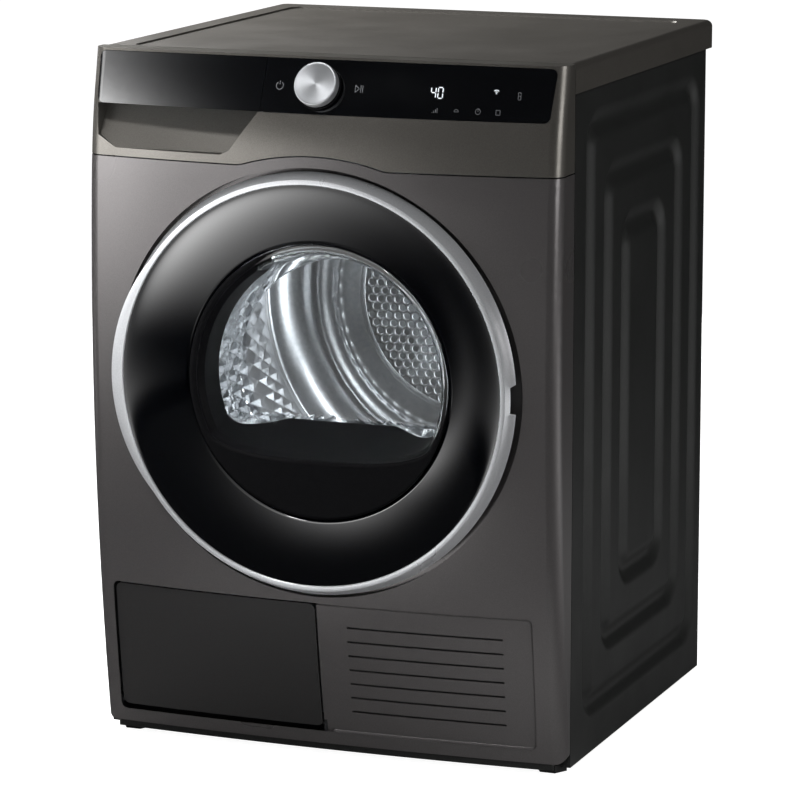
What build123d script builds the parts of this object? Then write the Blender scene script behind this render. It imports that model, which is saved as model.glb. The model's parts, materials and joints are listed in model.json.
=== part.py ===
from build123d import *
import os
from math import acos, atan2, cos, hypot, sin, sqrt

# Clothes dryer: x to the right, y to the back, z up, millimetres, origin on the floor under the centre.

# Cabinet
width = 600.0
depth = 640.0
foot_height = 15.0
base_room = 192.0
top_room = 87.0
drum_side_room = 22.0
sheet = 1.0
door_stand = 87.0
back_overhang = 38.0
cover_height = 35.0
control_height = 127.0
seam = 1.6
flange = 12.0
fit_gap = 0.2
cut_past = 1.0
bulk_wall = 1.5

# Pillow shape of the front
edge_stand = 58.0
crown = 25.0
crown_low = 10.0
crown_top = 1.0
crest_rise = 55.0
pillow_drop = 38.0
corner_radius = 18.0
control_rake = 11.0
lean_power = 1.5
pillow_spans = 12
arch_half = 92.0
arch_rise = 14.0
arch_blend = 30.0
panel_corner = 12.0

# Lower recess with the service flap and the grille
lower_left_margin = 23.0
lower_right_margin = 33.0
lower_bottom = 32.0
lower_top = 198.0
lower_corner = 8.0
recess_depth = 3.0
flap_wall = 2.5
flap_gap = 2.5
flap_pin_radius = 2.5
flap_pin_reach = 5.0
flap_axis_drop = 4.0
louvre_count = 7
louvre_pitch = 18.0
louvre_height = 2.4
louvre_side = 37.5
grille_left = -2.5
grille_border = 5.5
flap_low_gap = 6.0
lug_wall = 4.0
lug_in = 1.0
lug_lip = 0.8
lug_drop = 2.0
lug_top = 2.0
access_side = 14.0
access_mid = 20.0
access_low = 10.0
access_high = 22.0

# Door
door_drop = 20.0
ring_radius = 240.0
ring_face = 6.5
ring_flare = 7.5
ring_depth = 18.0
ring_wall = 3.0
door_gap = 5.0
dish_depth = 36.0
grip_width = 8.5
grip_radius = 215.0
grip_depth = 12.0
bezel_wall = 3.0
bezel_set = 2.5
bezel_step = 29.0
bezel_end_wall = 2.5
mouth_radius = 178.0
mouth_wall = 3.0
mouth_flange = 12.0
mouth_flange_wall = 2.0
window_radius = 165.5
window_wall = 3.5
window_set = 32.0
bowl_depth = 90.0
bowl_taper = 26.0
bowl_lip = 3.0
bowl_shoulder = 6.0
bowl_shoulder_deep = 10.0
bowl_knee = 10.0
bowl_knee_deep = 16.0
bowl_crown = 4.0
plate_thick = 3.0
filter_drop = 5.0
filter_reach = 15.0
filter_slot_half = 82.0
filter_slot_front = 22.0
filter_slot_back = 16.0
filter_slot_low = 30.0
liner_wall = 2.5
liner_lap = 8.0
liner_run = 19.0
liner_lift = 0.5
liner_mid_lift = 6.0
liner_gap = 1.0
seal_wide = 9.0
seal_set = 2.0
seal_lip = 2.0
latch_half = 13.0
hook_half = 5.0
hook_reach = 6.0
hook_barb = 3.0
hook_barb_wall = 4.0
ledge_drop = 99.0
ledge_rise = 36.0
hinge_inset = 16.0
hinge_depth = 14.0
hinge_barrel = 5.0
hinge_pin = 3.0
hinge_half = 15.0
hinge_leaf = 23.0
hinge_room = 2.0
barrel_room = 1.5
bracket_gap = 8.0
bracket_cut = 4.0
bracket_wide = 22.0
bracket_wall = 2.0
bracket_arm_in = 6.0
bracket_arm = 10.0
arm_bite = 1.0
leaf_in = 19.0
leaf_wide = 10.0
leaf_wall = 3.0
run_gap = 0.05
clear_gap = 0.3

# Drum and drive
drum_wall = 1.0
drum_lip = 31.5
drum_rear_room = 30.0
drum_front_room = 26.0
rear_gap = 10.0
rear_flange = 15.0
lip_turn = 10.0
drum_ring_wall = 3.0
plate_wall = 1.5
hub_radius = 46.0
hub_stand = 4.0
perf_radius = 5.0
perf_rings = ((75.0, 18), (105.0, 26), (135.0, 34))
felt_height = 6.0
felt_length = 9.0
felt_wide = 12.0
felt_room = 25.0
shaft_radius = 12.0
shaft_past = 20.0
bearing_wall = 10.0
bearing_front = 4.0
bearing_back = 16.0
air_hole = 34.0
air_circle = 140.0
air_count = 10
lifter_count = 3
lifter_height = 45.0
lifter_half = 32.0
lifter_tip = 8.0
lifter_start = 30.0
lifter_front = 24.0
lifter_back = 6.0
roller_radius = 24.0
roller_width = 22.0
roller_angle = 35.0
roller_set = 10.0
axle_radius = 5.0
axle_past = 4.0
axle_boss_gap = 1.0
motor_side = 95.0
motor_rise = 85.0
motor_radius = 48.0
motor_y = 66.0
motor_length = 100.0
motor_shaft = 6.0
motor_end = 14.0
motor_foot_in = 15.0
rotor_radius = 24.0
rotor_gap = 1.0
rotor_end = 16.0
arm_wall = 4.0
arm_boss = 14.4
pulley_radius = 9.0
pulley_width = 14.0
belt_width = 10.0
belt_thick = 2.0
belt_room = 7.0
idler_radius = 14.0
idler_along = 230.0
fan_radius = 60.0
fan_gap = 22.0
fan_rear = 14.0
fan_disc = 2.0
fan_hub = 15.0
blade_count = 16
blade_wall = 2.0
blade_circle = 48.0
blade_length = 24.0
blade_angle = 25.0
blower_radius = 70.0
blower_wall = 2.0
blower_room = 8.0
blower_eye = 36.0
blower_lap = 6.0
duct_radius = 212.0
duct_wall = 1.5
duct_round = 14.0
duct_inset = 2.0
duct_low_gap = 3.0
duct_clear = 2.0

# Water tank and controls
strip_top = 3.5
strip_height = 61.0
strip_margin = 11.0
strip_split = 72.0
strip_slant = 6.0
strip_gap = 0.6
strip_corner = 7.0
tank_wall = 2.5
tank_lift = 2.0
tank_drop = 9.0
tank_inset = 14.0
tank_inside_front = 12.0
pour_radius = 16.0
chute_wall = 2.0
chute_floor = 4.0
chute_gap = 1.0
chute_low = 2.0
notch_room = 10.0
tank_side_room = 3.0
tank_length = 445.0
glass_wall = 2.0
control_wall = 2.5
bowl_slope_back = 42.0
bowl_height = 52.0
bowl_lap = 1.0
bowl_left_in = 3.0
bowl_left_rise = 14.0
bowl_left_run = 28.0
bowl_right_run = 46.0
bowl_right_step = 35.0
bowl_right_rise = 5.0
board_wall = 2.0
board_side = 14.0
board_end = 20.0
board_low = 8.0
board_high = 10.0
standoff = 14.0
standoff_in = 15.0
standoff_rise = 18.0
standoff_radius = 4.0
encoder_radius = 9.0
encoder_gap = 0.6
dial_radius = 26.5
dial_base = 28.0
dial_height = 14.0
dial_lift = 0.6
dial_base_height = 4.9
dial_round = 1.5
dial_stem = 3.0
dial_stem_length = 9.8
dial_drop = 34.0

# Feet, base and side panels
foot_radius = 19.0
foot_stem = 5.0
foot_pad = 9.0
foot_side = 28.0
foot_front = 15.0
foot_back = 45.0
stem_short = 3.0
tray_wall = 4.0
tray_height = 30.0
plinth_low = 9.0
press_count = 3
press_depth = 7.5
press_width = 40.0
press_flat = 6.0
press_pitch = 68.0
press_margin_front = 38.0
press_margin_back = 22.0
press_margin_low = 32.0
press_margin_high = 24.0
press_corner = 46.0
press_corner_limit = 0.45

# Top cover and back
cover_slab = 6.0
cover_skirt = 3.0
cover_round = 8.0
cover_corner = 14.0
cover_rim = 34.0
cover_front_rim = 12.0
cover_sink = 2.0
cover_taper = 20.0
vent_count = 8
vent_side = 150.0
vent_rise = 95.0
vent_pitch = 14.0
vent_length = 150.0
vent_height = 6.0
screw_side = 8.0
screw_low = 25.0
screw_high = 30.0
screw_radius = 4.0
screw_head = 2.5
inlet_side = 60.0
inlet_drop = 70.0
inlet_half = 26.0
inlet_tall = 30.0
inlet_deep = 22.0
cord_radius = 6.0
cord_hole = 20.0

# Heat pump
housing_wall = 2.5
housing_side = 16.0
housing_end = 18.0
housing_back = 20.0
housing_height = 157.0
housing_slot_side = 40.0
housing_slot_front = 6.0
housing_slot_wide = 12.0
fin_count = 14
fin_wall = 1.0
coil_room = 8.0
coil_length = 120.0
coil_front = 30.0
coil_gap = 20.0
tube_radius = 4.0
tube_rows = 3
tube_columns = 4
cover_wall = 10.0
cover_border = 6.0
latch_in = 2.0
latch_seat = 2.0
latch_stem = 3.0
latch_stem_gap = 1.0
latch_arm = 44.0
latch_wide = 12.0
latch_thick = 8.0
comp_shift = 20.0
comp_y = -60.0
comp_radius = 62.0
comp_rise = 24.0
comp_height = 158.0
comp_round = 22.0
comp_foot_round = 20.0
comp_foot_lap = 6.0
mount_height = 20.0
mount_radius = 13.0
mount_circle = 50.0
mount_count = 3
pipe_radius = 4.0
pipe_bend = 18.0
pipe_rise = 30.0
pipe_run = 60.0
pipe_land = 80.0
pump_side = 40.0
pump_height = 60.0
pump_long = 56.0
pump_wide = 46.0
pump_round = 8.0
pump_cap = 16.0
pump_neck = 24.0
pump_neck_radius = 18.0
hose_radius = 5.0
hose_side = 15.0
hose_rise = 50.0
hose_turn = 120.0
hose_high = 200.0
hose_land = 40.0
hose_bend = 30.0
lamp_x = 108.0
lamp_rise = 192.0
lamp_radius = 14.0
lamp_deep = 8.0
lamp_round = 4.0

# Places that follow from the sizes above
half_w = width / 2
front_y = -depth / 2
back_y = depth / 2
seam_y = front_y + door_stand
side_back_y = back_y - back_overhang
inner_w = half_w - sheet
drum_radius = half_w - drum_side_room
drum_z = foot_height + base_room + drum_radius
height = drum_z + drum_radius + top_room
seam_z = height - control_height
cover_z = height - cover_height
door_z = drum_z - door_drop
panel_z = foot_height + sheet
crest_z = door_z + crest_rise
dish_y = front_y + dish_depth
ring_out = ring_radius + ring_face
ring_edge = ring_out + ring_flare
dish_radius = ring_edge + door_gap
flange_y = seam_y + seam / 2
bulk_y = flange_y + sheet
bulk_rear_y = bulk_y + bulk_wall
drum_front_y = bulk_rear_y + drum_front_room
drum_back_y = side_back_y - drum_rear_room
rear_y = drum_back_y + rear_gap
rear_face_y = rear_y + bulk_wall
tray_floor_z = foot_height + tray_wall
tray_top_z = foot_height + tray_height
strip_top_z = height - strip_top
strip_low_z = strip_top_z - strip_height
tank_low_z = strip_low_z + tank_lift
tank_top_z = height - tank_drop
chute_z = tank_low_z - chute_floor

os.makedirs("parts", exist_ok=True)


def save(block, name):
    block.part.label = name
    export_step(block.part, f"parts/{name}.step")


def front_plane(y):
    return Plane.XZ.offset(-y)


# The front is a pillow: an arc in plan at every height, set back towards the floor and the top.
def lean(z):
    return max(0, (z - seam_z) / control_height) ** lean_power


def edge_y(z):
    set_back = pillow_drop * ((z - crest_z) / (crest_z - foot_height)) ** 2
    return seam_y - edge_stand + set_back + control_rake * lean(z)


def crown_at(z):
    swell = crown - (crown - crown_low) * max(0, (crest_z - z) / (crest_z - foot_height)) ** 2
    return swell + (crown_top - crown) * lean(z)


def front_arc(z):
    half_chord = half_w - corner_radius
    rise = crown_at(z)
    radius = (half_chord ** 2 + rise ** 2) / (2 * rise)
    return radius, edge_y(z) - rise + radius


def front_at(x, z, inset=0.0):
    radius, centre_y = front_arc(z)
    return centre_y - sqrt((radius - inset) ** 2 - x ** 2)


def front_tilt(z):
    return (front_at(0, z + 1) - front_at(0, z - 1)) / 2


# One horizontal slice of the pillow: front arc, two round corners, straight sides and back.
def pillow_slice(z, inset, rear_y_of_slice):
    radius, centre_y = front_arc(z)
    corner_x = half_w - corner_radius
    corner_y = centre_y - sqrt((radius - corner_radius) ** 2 - corner_x ** 2)
    small = corner_radius - inset
    side_x = half_w - inset
    angle = atan2(corner_y - centre_y, corner_x)
    join_x = corner_x + small * cos(angle)
    join_y = corner_y + small * sin(angle)
    mid_x = corner_x + small * cos(angle / 2)
    mid_y = corner_y + small * sin(angle / 2)
    with BuildSketch(Plane.XY.offset(z)) as slice_face:
        with BuildLine():
            Line((-side_x, rear_y_of_slice), (-side_x, corner_y))
            ThreePointArc((-side_x, corner_y), (-mid_x, mid_y), (-join_x, join_y))
            ThreePointArc((-join_x, join_y), (0, centre_y - radius + inset), (join_x, join_y))
            ThreePointArc((join_x, join_y), (mid_x, mid_y), (side_x, corner_y))
            Line((side_x, corner_y), (side_x, rear_y_of_slice))
            Line((side_x, rear_y_of_slice), (-side_x, rear_y_of_slice))
        make_face()
    return slice_face.sketch


def pillow_block(inset, rear_y_of_block):
    low = panel_z + inset
    pitch = (height - inset - low) / pillow_spans
    levels = [low + i * pitch for i in range(pillow_spans + 1)]
    with BuildPart() as block:
        loft([pillow_slice(z, inset, rear_y_of_block) for z in levels])
    return block.part


def pillow_skin(outer, inner):
    with BuildPart() as skin:
        add(pillow_block(outer, flange_y - seam))
        add(pillow_block(inner, flange_y + flange), mode=Mode.SUBTRACT)
    return skin.part


# Front-view prism of a rounded rectangle, through the whole front.
def front_prism(x0, x1, z0, z1, corner):
    with BuildPart() as prism:
        with BuildSketch(Plane.XZ):
            with Locations(((x0 + x1) / 2, (z0 + z1) / 2)):
                RectangleRounded(x1 - x0, z1 - z0, corner)
        extrude(amount=depth)
    return prism.part


# Front view of everything above the arched seam between control panel and front panel.
def above_seam(shift):
    low = seam_z + shift
    far = half_w + flange
    high = height + flange
    with BuildSketch(Plane.XZ) as outline:
        with BuildLine():
            ThreePointArc((-arch_half, low), (0, low + arch_rise), (arch_half, low))
            Polyline((arch_half, low), (far, low), (far, high), (-far, high), (-far, low),
                     (-arch_half, low))
        make_face()
        fillet(outline.vertices().filter_by(lambda v: abs(abs(v.X) - arch_half) < 0.1), arch_blend)
    return outline.sketch


# Box between two corners.
def span_box(x0, x1, y0, y1, z0, z1, mode=Mode.ADD):
    with Locations(((x0 + x1) / 2, (y0 + y1) / 2, (z0 + z1) / 2)):
        Box(x1 - x0, y1 - y0, z1 - z0, mode=mode)


# Round bar or hole along y.
def bar_y(x, z, radius, y0, y1, mode=Mode.ADD):
    with Locations(Location((x, (y0 + y1) / 2, z), (90, 0, 0))):
        Cylinder(radius, y1 - y0, mode=mode)


# Ring turned about an axis along y at height z, from a profile of (radius, y) points.
def turned(points, z):
    with BuildPart() as ring:
        with BuildSketch(Plane.XY.offset(z)):
            with BuildLine():
                Polyline(*points, close=True)
            make_face()
        revolve(axis=Axis((0, 0, z), (0, 1, 0)))
    return ring.part


# Front panel: pillow skin below the arched seam, a round dish for the door, an opening for flap and grille
lower_left = -half_w + lower_left_margin
lower_right = half_w - lower_right_margin
lower_mid_x = (lower_left + lower_right) / 2
lower_mid_z = (lower_bottom + lower_top) / 2
latch_x = -(mouth_radius + dish_radius) / 2
tab_x = inner_w - flange / 2
tab_places = [(side * tab_x, flange_y - flange / 2, z)
              for side in (-1, 1) for z in (panel_z + 4 * flange, crest_z, seam_z - 2 * flange)]

with BuildPart() as door_dish:
    add(turned([(dish_radius, front_y), (dish_radius + sheet, front_y),
                (dish_radius + sheet, dish_y + sheet), (dish_radius, dish_y + sheet)], door_z))
    add(pillow_block(0, seam_y), mode=Mode.INTERSECT)
    add(turned([(mouth_radius, dish_y), (dish_radius + sheet, dish_y),
                (dish_radius + sheet, dish_y + sheet), (mouth_radius, dish_y + sheet)], door_z))
    span_box(latch_x - latch_half, latch_x + latch_half, front_y, seam_y,
             door_z - latch_half, door_z + latch_half, Mode.SUBTRACT)

with BuildPart() as front_panel:
    add(pillow_skin(0, sheet))
    with BuildSketch(Plane.XZ):
        add(above_seam(-seam / 2))
        with Locations((0, door_z)):
            Circle(dish_radius)
        with Locations((lower_mid_x, lower_mid_z)):
            RectangleRounded(lower_right - lower_left, lower_top - lower_bottom, lower_corner)
        with BuildSketch(Plane.XZ, mode=Mode.PRIVATE) as corners:
            for side in (-1, 1):
                with Locations((side * (half_w - panel_corner / 2), panel_z + panel_corner / 2)):
                    Rectangle(panel_corner + sheet, panel_corner + sheet)
            for side in (-1, 1):
                with Locations((side * (half_w - panel_corner), panel_z + panel_corner)):
                    Circle(panel_corner, mode=Mode.SUBTRACT)
        add(corners.sketch)
    extrude(amount=depth, mode=Mode.SUBTRACT)
    add(door_dish.part)
    with Locations(*tab_places):
        Box(flange, flange, 2 * flange)
save(front_panel, "front_panel")

# Service flap: part of the pillow, set back in its recess, on two pins along its lower edge
flap_left = lower_left + flap_gap
flap_right = grille_left - flap_gap
flap_low = lower_bottom + flap_low_gap
flap_high = lower_top - flap_gap
hinge_z = flap_low + flap_axis_drop
flap_ends = [(x, front_at(x, hinge_z, recess_depth) + flap_axis_drop) for x in (lower_left, 0)]
flap_turn = (Vector(*flap_ends[1], 0) - Vector(*flap_ends[0], 0)).normalized()
lug_x = (flap_left - flap_pin_reach + lug_in, flap_right + flap_pin_reach - lug_in)


def flap_axis_plane(x):
    share = (x - flap_ends[0][0]) / (flap_ends[1][0] - flap_ends[0][0])
    y = flap_ends[0][1] + share * (flap_ends[1][1] - flap_ends[0][1])
    return Plane(origin=(x, y, hinge_z), z_dir=flap_turn)


recess_skin = pillow_skin(recess_depth, recess_depth + flap_wall)
with BuildPart() as service_flap:
    add(recess_skin)
    add(front_prism(flap_left, flap_right, flap_low, flap_high, lower_corner), mode=Mode.INTERSECT)
    for start_x, reach in ((flap_left, -flap_pin_reach), (flap_right, flap_pin_reach)):
        with BuildSketch(flap_axis_plane(start_x - 2 * reach)):
            Circle(flap_pin_radius)
        extrude(amount=3 * reach)
save(service_flap, "service_flap")

# Intake grille: louvred half of the recess, with a border held behind the front panel
louvre_right = lower_right - louvre_side
louvre_left = grille_left + louvre_side
with BuildPart() as grille_border_part:
    add(pillow_skin(sheet + 3 * fit_gap, recess_depth + flap_wall))
    with BuildSketch(Plane.XZ):
        with Locations(((grille_left + lower_right + grille_border) / 2, lower_mid_z)):
            Rectangle(lower_right + grille_border - grille_left, lower_top - lower_bottom + 2 * grille_border)
    extrude(amount=depth, mode=Mode.INTERSECT)
    add(front_prism(lower_left, lower_right + fit_gap, lower_bottom - fit_gap, lower_top + fit_gap,
                    lower_corner), mode=Mode.SUBTRACT)
grille_high = lower_top - lower_bottom + 2 * fit_gap
lug_corner_x = lug_x[1] + lug_wall / 2 + clear_gap
lug_corner_z = hinge_z + flap_pin_radius + lug_top + clear_gap
with BuildPart() as intake_grille:
    add(recess_skin)
    with BuildSketch(Plane.XZ):
        with Locations(((grille_left + lower_right + fit_gap) / 2, lower_mid_z)):
            Rectangle(lower_right + fit_gap - grille_left, grille_high)
    extrude(amount=depth, mode=Mode.INTERSECT)
    add(grille_border_part.part)
    span_box(grille_left - cut_past, lug_corner_x, front_y, seam_y, panel_z, lug_corner_z, Mode.SUBTRACT)
    with BuildSketch(Plane.XZ):
        with Locations(((louvre_left + louvre_right) / 2, lower_mid_z)):
            with GridLocations(0, louvre_pitch, 1, louvre_count):
                SlotOverall(louvre_right - louvre_left, louvre_height)
    extrude(amount=depth, mode=Mode.SUBTRACT)
save(intake_grille, "intake_grille")

# Control panel: pillow skin above the seam, with the drawer opening, the glass seat and a finger bowl
strip_left = -half_w + strip_margin
strip_right = half_w - strip_margin
bowl_low_z = strip_low_z - bowl_height


# Front view of the black strip, whole or cut between two x values.
def strip_prism(x0, x1, grow):
    with BuildPart() as prism:
        with BuildSketch(Plane.XZ) as outline:
            with BuildLine():
                Polyline((strip_left, strip_low_z), (strip_right - strip_slant, strip_low_z),
                         (strip_right, strip_top_z), (strip_left, strip_top_z), close=True)
            make_face()
            fillet(outline.vertices(), strip_corner)
            if grow:
                offset(amount=grow)
            with Locations(((x0 + x1) / 2, height / 2)):
                Rectangle(x1 - x0, 2 * height, mode=Mode.INTERSECT)
        extrude(amount=depth)
    return prism.part


bowl_points = [(strip_left + strip_gap, strip_low_z + bowl_lap),
               (strip_left + bowl_left_in, bowl_low_z + bowl_left_rise),
               (strip_left + bowl_left_run, bowl_low_z),
               (-strip_split - bowl_right_run, bowl_low_z),
               (-strip_split - bowl_right_step, bowl_low_z + bowl_right_rise),
               (-strip_split - strip_gap, strip_low_z + bowl_lap)]
bowl_front_y = front_at(half_w - 2 * corner_radius, bowl_low_z)


def bowl_prism(grow, back_shift):
    with BuildPart() as prism:
        with BuildSketch(Plane.XZ) as outline:
            with BuildLine():
                Polyline(*bowl_points, close=True)
            make_face()
            fillet(outline.vertices().group_by(Axis.Y)[0], strip_corner)
            if grow:
                offset(amount=grow)
        extrude(amount=depth)
        with BuildSketch(Plane.YZ):
            with BuildLine():
                Polyline((front_y, bowl_low_z - grow), (front_y, strip_low_z),
                         (bowl_front_y + bowl_slope_back + back_shift, strip_low_z),
                         (bowl_front_y + back_shift, bowl_low_z - grow), close=True)
            make_face()
        extrude(amount=half_w, both=True, mode=Mode.INTERSECT)
    return prism.part


with BuildPart() as finger_bowl:
    add(bowl_prism(control_wall, control_wall))
    add(pillow_block(control_wall / 2, seam_y), mode=Mode.INTERSECT)

with BuildPart() as control_panel:
    add(pillow_skin(0, control_wall))
    with BuildSketch(Plane.XZ):
        add(above_seam(seam / 2))
    extrude(amount=depth, mode=Mode.INTERSECT)
    add(finger_bowl.part)
    add(bowl_prism(0, 0), mode=Mode.SUBTRACT)
    add(strip_prism(-half_w, half_w, strip_gap), mode=Mode.SUBTRACT)
    control_tabs = [(side * tab_x, flange_y - flange / 2, seam_z + 2 * flange) for side in (-1, 1)]
    with Locations(*control_tabs):
        Box(flange, flange, 2 * flange)
save(control_panel, "control_panel")

# Touch glass with a slanted right end and a hole for the dial stem
dial_z = height - dial_drop
dial_y = front_at(0, dial_z)
dial_plane = Plane(origin=(0, dial_y, dial_z), x_dir=(1, 0, 0), z_dir=(0, -1, front_tilt(dial_z)))
stem_hole = 3 * dial_stem
with BuildPart() as control_glass:
    add(pillow_skin(0, glass_wall))
    add(strip_prism(-strip_split + strip_gap, half_w, 0), mode=Mode.INTERSECT)
    with BuildSketch(dial_plane):
        Circle(stem_hole)
    extrude(amount=stem_hole, both=True, mode=Mode.SUBTRACT)
save(control_glass, "control_glass")

# Control board on standoffs, with the dial's encoder
board_y = bulk_y - standoff
board_left = -strip_split + board_side
board_right = strip_right - board_end
encoder_set = glass_wall + encoder_gap
encoder_length = (board_y - board_wall / 2 - dial_y) * sqrt(1 + front_tilt(dial_z) ** 2) - encoder_set
with BuildPart() as control_board:
    span_box(board_left, board_right, board_y - board_wall, board_y,
             strip_low_z + board_low, strip_top_z - board_high)
    for x in (board_left + standoff_in, board_right - standoff_in):
        bar_y(x, strip_low_z + standoff_rise, standoff_radius, board_y, bulk_y)
    with BuildSketch(dial_plane.offset(-encoder_set)):
        Circle(encoder_radius)
    extrude(amount=-encoder_length)
    with BuildSketch(dial_plane):
        Circle(dial_stem + run_gap)
    extrude(amount=-dial_height, mode=Mode.SUBTRACT)
save(control_board, "control_board")

# Dial: dark base, spun cap, thin stem in the encoder
with BuildPart() as dial_knob:
    with BuildSketch(dial_plane.offset(dial_lift)):
        Circle(dial_base)
    extrude(amount=dial_base_height)
    with BuildSketch(dial_plane.offset(dial_lift)):
        Circle(dial_radius)
    extrude(amount=dial_height)
    dial_rims = dial_knob.edges().filter_by(GeomType.CIRCLE)
    fillet(dial_rims.sort_by(Axis((0, 0, 0), tuple(dial_plane.z_dir)))[-1], dial_round)
    with BuildSketch(dial_plane.offset(dial_lift)):
        Circle(dial_stem)
    extrude(amount=-dial_stem_length)
save(dial_knob, "dial_knob")

# Water tank: black drawer front and a hollow body behind it
tank_left = strip_left + tank_side_room
tank_right = -strip_split - tank_side_room
tank_back_y = tank_length + front_at(strip_left, strip_low_z) + tank_inset
with BuildPart() as tank_front:
    add(pillow_skin(0, tank_wall))
    add(strip_prism(-half_w, -strip_split, 0), mode=Mode.INTERSECT)
save(tank_front, "tank_front")

with BuildPart() as tank_body:
    span_box(tank_left, tank_right, front_y, tank_back_y, tank_low_z, tank_top_z)
    add(pillow_block(tank_wall + fit_gap, back_y), mode=Mode.INTERSECT)
    span_box(tank_left + tank_wall, tank_right - tank_wall, seam_y - tank_inside_front,
             tank_back_y - tank_wall, tank_low_z + tank_wall, tank_top_z - tank_wall, Mode.SUBTRACT)
    with Locations((tank_left + 3 * pour_radius, tank_back_y - 3 * pour_radius, tank_top_z)):
        Cylinder(pour_radius, 4 * tank_wall, mode=Mode.SUBTRACT)
save(tank_body, "tank_body")

# Chute that carries the tank between the two bulkheads
chute_left = tank_left - chute_gap - chute_wall
chute_right = tank_right + chute_gap
with BuildPart() as tank_chute:
    span_box(chute_left, chute_right + chute_wall, bulk_rear_y, rear_y, chute_z, tank_low_z - clear_gap)
    for x0 in (chute_left, chute_right):
        span_box(x0, x0 + chute_wall, bulk_rear_y, rear_y, chute_z, tank_top_z - chute_low)
save(tank_chute, "tank_chute")

# Side panels: flanged steel sheets with three nested pressed grooves
press_y0 = flange_y + press_margin_front
press_y1 = side_back_y - press_margin_back
press_z0 = foot_height + press_margin_low
press_z1 = cover_z - press_margin_high
press_centre = ((press_y0 + press_y1) / 2, (press_z0 + press_z1) / 2)
press_slope = (press_width - press_flat) / 2


# Block of a rounded rectangle that tapers from the panel's face to the groove's floor.
def press_block(side, number, face_in, floor_in, floor_x):
    with BuildPart() as block:
        for x, narrow in ((half_w, face_in), (floor_x, floor_in)):
            inset = number * press_pitch + narrow
            wide = press_y1 - press_y0 - 2 * inset
            tall = press_z1 - press_z0 - 2 * inset
            corner = min(press_corner - narrow / 2, press_corner_limit * wide)
            with BuildSketch(Plane.YZ.offset(side * x)):
                with Locations(press_centre):
                    RectangleRounded(wide, tall, corner)
        loft()
    return block.part


# Ring-shaped groove, or with grow the outside of the sheet that lines it.
def press_groove(side, number, grow):
    floor_x = half_w - press_depth - grow
    inner = press_width + grow
    with BuildPart() as groove:
        add(press_block(side, number, -grow, press_slope - grow, floor_x))
        add(press_block(side, number, inner, inner - press_slope, floor_x), mode=Mode.SUBTRACT)
    return groove.part


for side, name in ((-1, "side_panel_left"), (1, "side_panel_right")):
    with BuildPart() as side_panel:
        near = side * inner_w
        far = side * half_w
        turn_in = side * (inner_w - flange)
        span_box(min(near, far), max(near, far), flange_y, side_back_y, foot_height, cover_z - fit_gap)
        for y0 in (flange_y, side_back_y - sheet):
            span_box(min(turn_in, far), max(turn_in, far), y0, y0 + sheet, foot_height, cover_z - fit_gap)
        for number in range(press_count):
            add(press_groove(side, number, sheet))
        for number in range(press_count):
            add(press_groove(side, number, 0), mode=Mode.SUBTRACT)
    save(side_panel, name)

# Base tray: floor, walls, foot bosses, plinth bar and the two lugs of the service flap
foot_x = half_w - foot_side
foot_places = [(side * foot_x, y) for y in (seam_y + foot_front, side_back_y - foot_back) for side in (-1, 1)]
foot_names = ("foot_front_left", "foot_front_right", "foot_back_left", "foot_back_right")
tray_half = inner_w - fit_gap
tray_front_y = bulk_y + fit_gap
tray_back_y = side_back_y - sheet - fit_gap
with BuildPart() as base_tray:
    span_box(-tray_half, tray_half, tray_front_y, tray_back_y, foot_height, tray_top_z)
    span_box(-tray_half + tray_wall, tray_half - tray_wall, tray_front_y + tray_wall, tray_back_y - tray_wall,
             tray_floor_z, tray_top_z, Mode.SUBTRACT)
    span_box(-foot_x, foot_x, seam_y - flange, tray_front_y + tray_wall, plinth_low, panel_z - fit_gap)
    with Locations(*[(x, y, foot_height + tray_height / 2) for x, y in foot_places]):
        Cylinder(2 * foot_stem, tray_height)
    with Locations(*[(x, y, foot_height + tray_height / 2) for x, y in foot_places]):
        Cylinder(foot_stem + run_gap, 2 * tray_height, mode=Mode.SUBTRACT)
    for x in lug_x:
        lug_y = flap_axis_plane(x).origin.Y
        span_box(x - lug_wall / 2, x + lug_wall / 2, lug_y - flap_pin_radius - lug_lip, bulk_y - fit_gap,
                 lower_bottom - lug_drop, hinge_z + flap_pin_radius + lug_top)
        span_box(x - lug_wall / 2, x + lug_wall / 2, lug_y + flap_pin_radius, tray_front_y + tray_wall,
                 panel_z + 2 * sheet, tray_top_z)
    for x in lug_x:
        with BuildSketch(flap_axis_plane(x)):
            Circle(flap_pin_radius + run_gap)
        extrude(amount=2 * lug_wall, both=True, mode=Mode.SUBTRACT)
save(base_tray, "base_tray")

# Levelling feet: six-sided pads on threaded stems
for (x, y), name in zip(foot_places, foot_names):
    with BuildPart() as foot:
        with BuildSketch():
            with Locations((x, y)):
                RegularPolygon(foot_radius, 6)
        extrude(amount=foot_pad)
        with BuildSketch():
            with Locations((x, y)):
                Circle(foot_stem)
        extrude(amount=foot_height + tray_height - stem_short)
    save(foot, name)

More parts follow.
